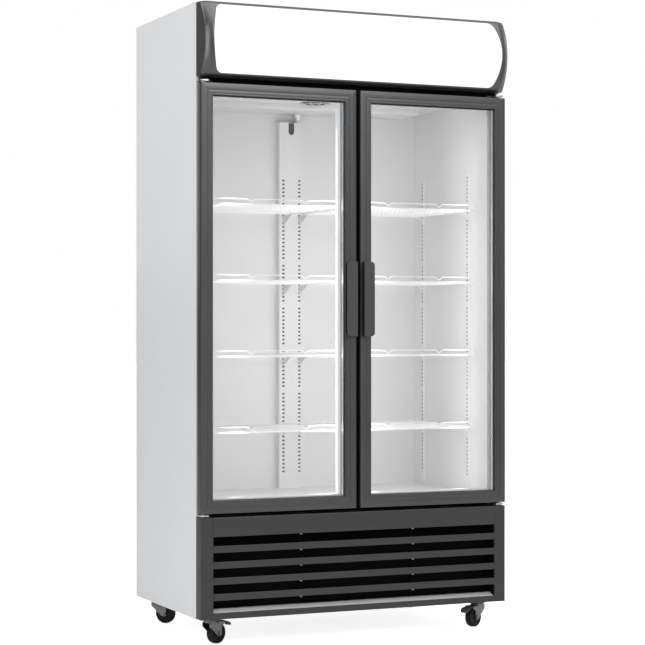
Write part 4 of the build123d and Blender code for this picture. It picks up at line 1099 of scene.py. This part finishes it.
def pedal(corner):
    """A pressed lever on a pivot tube: a strip whose width follows its length.

    It falls away from its middle line by dome * (y / half)^2.
    """
    along = np.array([
        (0.044, 0.0672), (0.050, 0.0668), (0.058, 0.0658), (0.066, 0.0634),
        (0.073, 0.0594), (0.078, 0.0550), (0.0812, 0.0505),
    ])
    half = np.array([0.0110, 0.0125, 0.0148, 0.0155, 0.0153, 0.0135, 0.0085])
    across = np.linspace(-1, 1, 9)
    normal = np.gradient(along, axis=0) @ np.array([(0, 1), (-1, 0)])
    normal /= np.linalg.norm(normal, axis=1, keepdims=True)
    dome, thick = 0.0016, 0.0022
    sheets = []
    for drop in (0.0, thick):
        rise = -dome * across**2 - drop
        x = along[:, :1] + normal[:, :1] * rise
        z = along[:, 1:] + normal[:, 1:] * rise
        sheets.append(np.stack([x, half[:, None] * across, z], axis=-1))
    grid = np.concatenate([sheets[0], sheets[1][:, ::-1]], axis=1)
    shells = [skin(grid, around=True, caps=True)]
    tube = [
        (0, -0.0127), (0.0031, -0.0127), (0.0034, -0.0120), (0.0034, 0.0120),
        (0.0031, 0.0127), (0, 0.0127),
    ]
    pin = [(0, -LEG_OUT), (0.0025, -LEG_OUT), (0.0025, LEG_OUT), (0, LEG_OUT)]
    shells.append(lathe(tube, PIVOT, (0, 1, 0), 24))
    shells.append(lathe(pin, PIVOT, (0, 1, 0), 20))
    shells.append(block((0.040, -0.011, 0.0615), (0.057, 0.011, 0.0648), 0.001, 1))
    piece(
        f"pedal_{corner}", set_at(corner, shells), pedal_steel, f"brake_{corner}",
        [f"caster_brake_{corner}"], smooth=50,
    )


def top_plates():
    """Plates with rounded corners, each with its upper ball race and a riveted pin."""
    shells = []
    for corner in CORNERS:
        x, y, _ = JOINTS[f"swivel_{corner}_turn"]["pos_m"]
        low, high = (x - 0.035, y - 0.030, PLATE_LOW), (x + 0.035, y + 0.030, PLATE_HIGH)
        shells.append(block(low, high, 0.006, 2, 5))
        race = [
            (0, 0.0715), (0.0190, 0.0715), (0.0225, 0.0722), (0.0240, 0.0742),
            (0.0238, 0.0765), (0.0215, PLATE_LOW), (0, PLATE_LOW),
        ]
        shells.append(lathe(race, (x, y, 0), (0, 0, 1)))
        rivet = [(0, 0.0648), (0.0050, 0.0648), (0.0050, 0.0716), (0, 0.0716)]
        shells.append(lathe(rivet, (x, y, 0), (0, 0, 1), 24))
    piece("caster_tops", shells, shaded_caster_zinc, "cabinet", ["caster_plates"], smooth=40)


for corner in CORNERS:
    fork(corner)
    wheel(corner)
    if corner.startswith("front"):
        pedal(corner)
top_plates()

# ---------------------------------------------------------------- floor


def studio_floor():
    """A plain pale floor: a flat sheet well beyond the object on every side."""
    mesh = bpy.data.meshes.new("studio_floor")
    reach = 40.0
    grid = np.array([
        [[-reach, -reach, 0], [-reach, reach, 0]],
        [[reach, -reach, 0], [reach, reach, 0]],
    ])
    points, faces = skin(grid)
    mesh.from_pydata(points.tolist(), [], [face[::-1] for face in faces])
    made, tree, shader, place, out = finish_nodes("pale_floor")
    drift = noise(tree, place, 0.8, 3.0)
    tone = tones(tree, drift, (0.90, 0.90, 0.90), (0.92, 0.92, 0.92))
    tree.links.new(tone, shader.inputs["Base Color"])
    shader.inputs["Roughness"].default_value = 0.6
    glow = tree.nodes.new("ShaderNodeEmission")
    glow.inputs["Strength"].default_value = 0.80
    seen = tree.nodes.new("ShaderNodeMixShader")
    path = tree.nodes.new("ShaderNodeLightPath")
    both = tree.nodes.new("ShaderNodeAddShader")
    tree.links.new(path.outputs["Is Camera Ray"], seen.inputs["Fac"])
    tree.links.new(shader.outputs["BSDF"], seen.inputs[1])
    tree.links.new(shader.outputs["BSDF"], both.inputs[0])
    tree.links.new(glow.outputs["Emission"], both.inputs[1])
    tree.links.new(both.outputs["Shader"], seen.inputs[2])
    tree.links.new(seen.outputs["Shader"], out.inputs["Surface"])
    mesh.materials.append(made)
    floor = bpy.data.objects.new("studio_floor", mesh)
    scene.collection.objects.link(floor)


studio_floor()
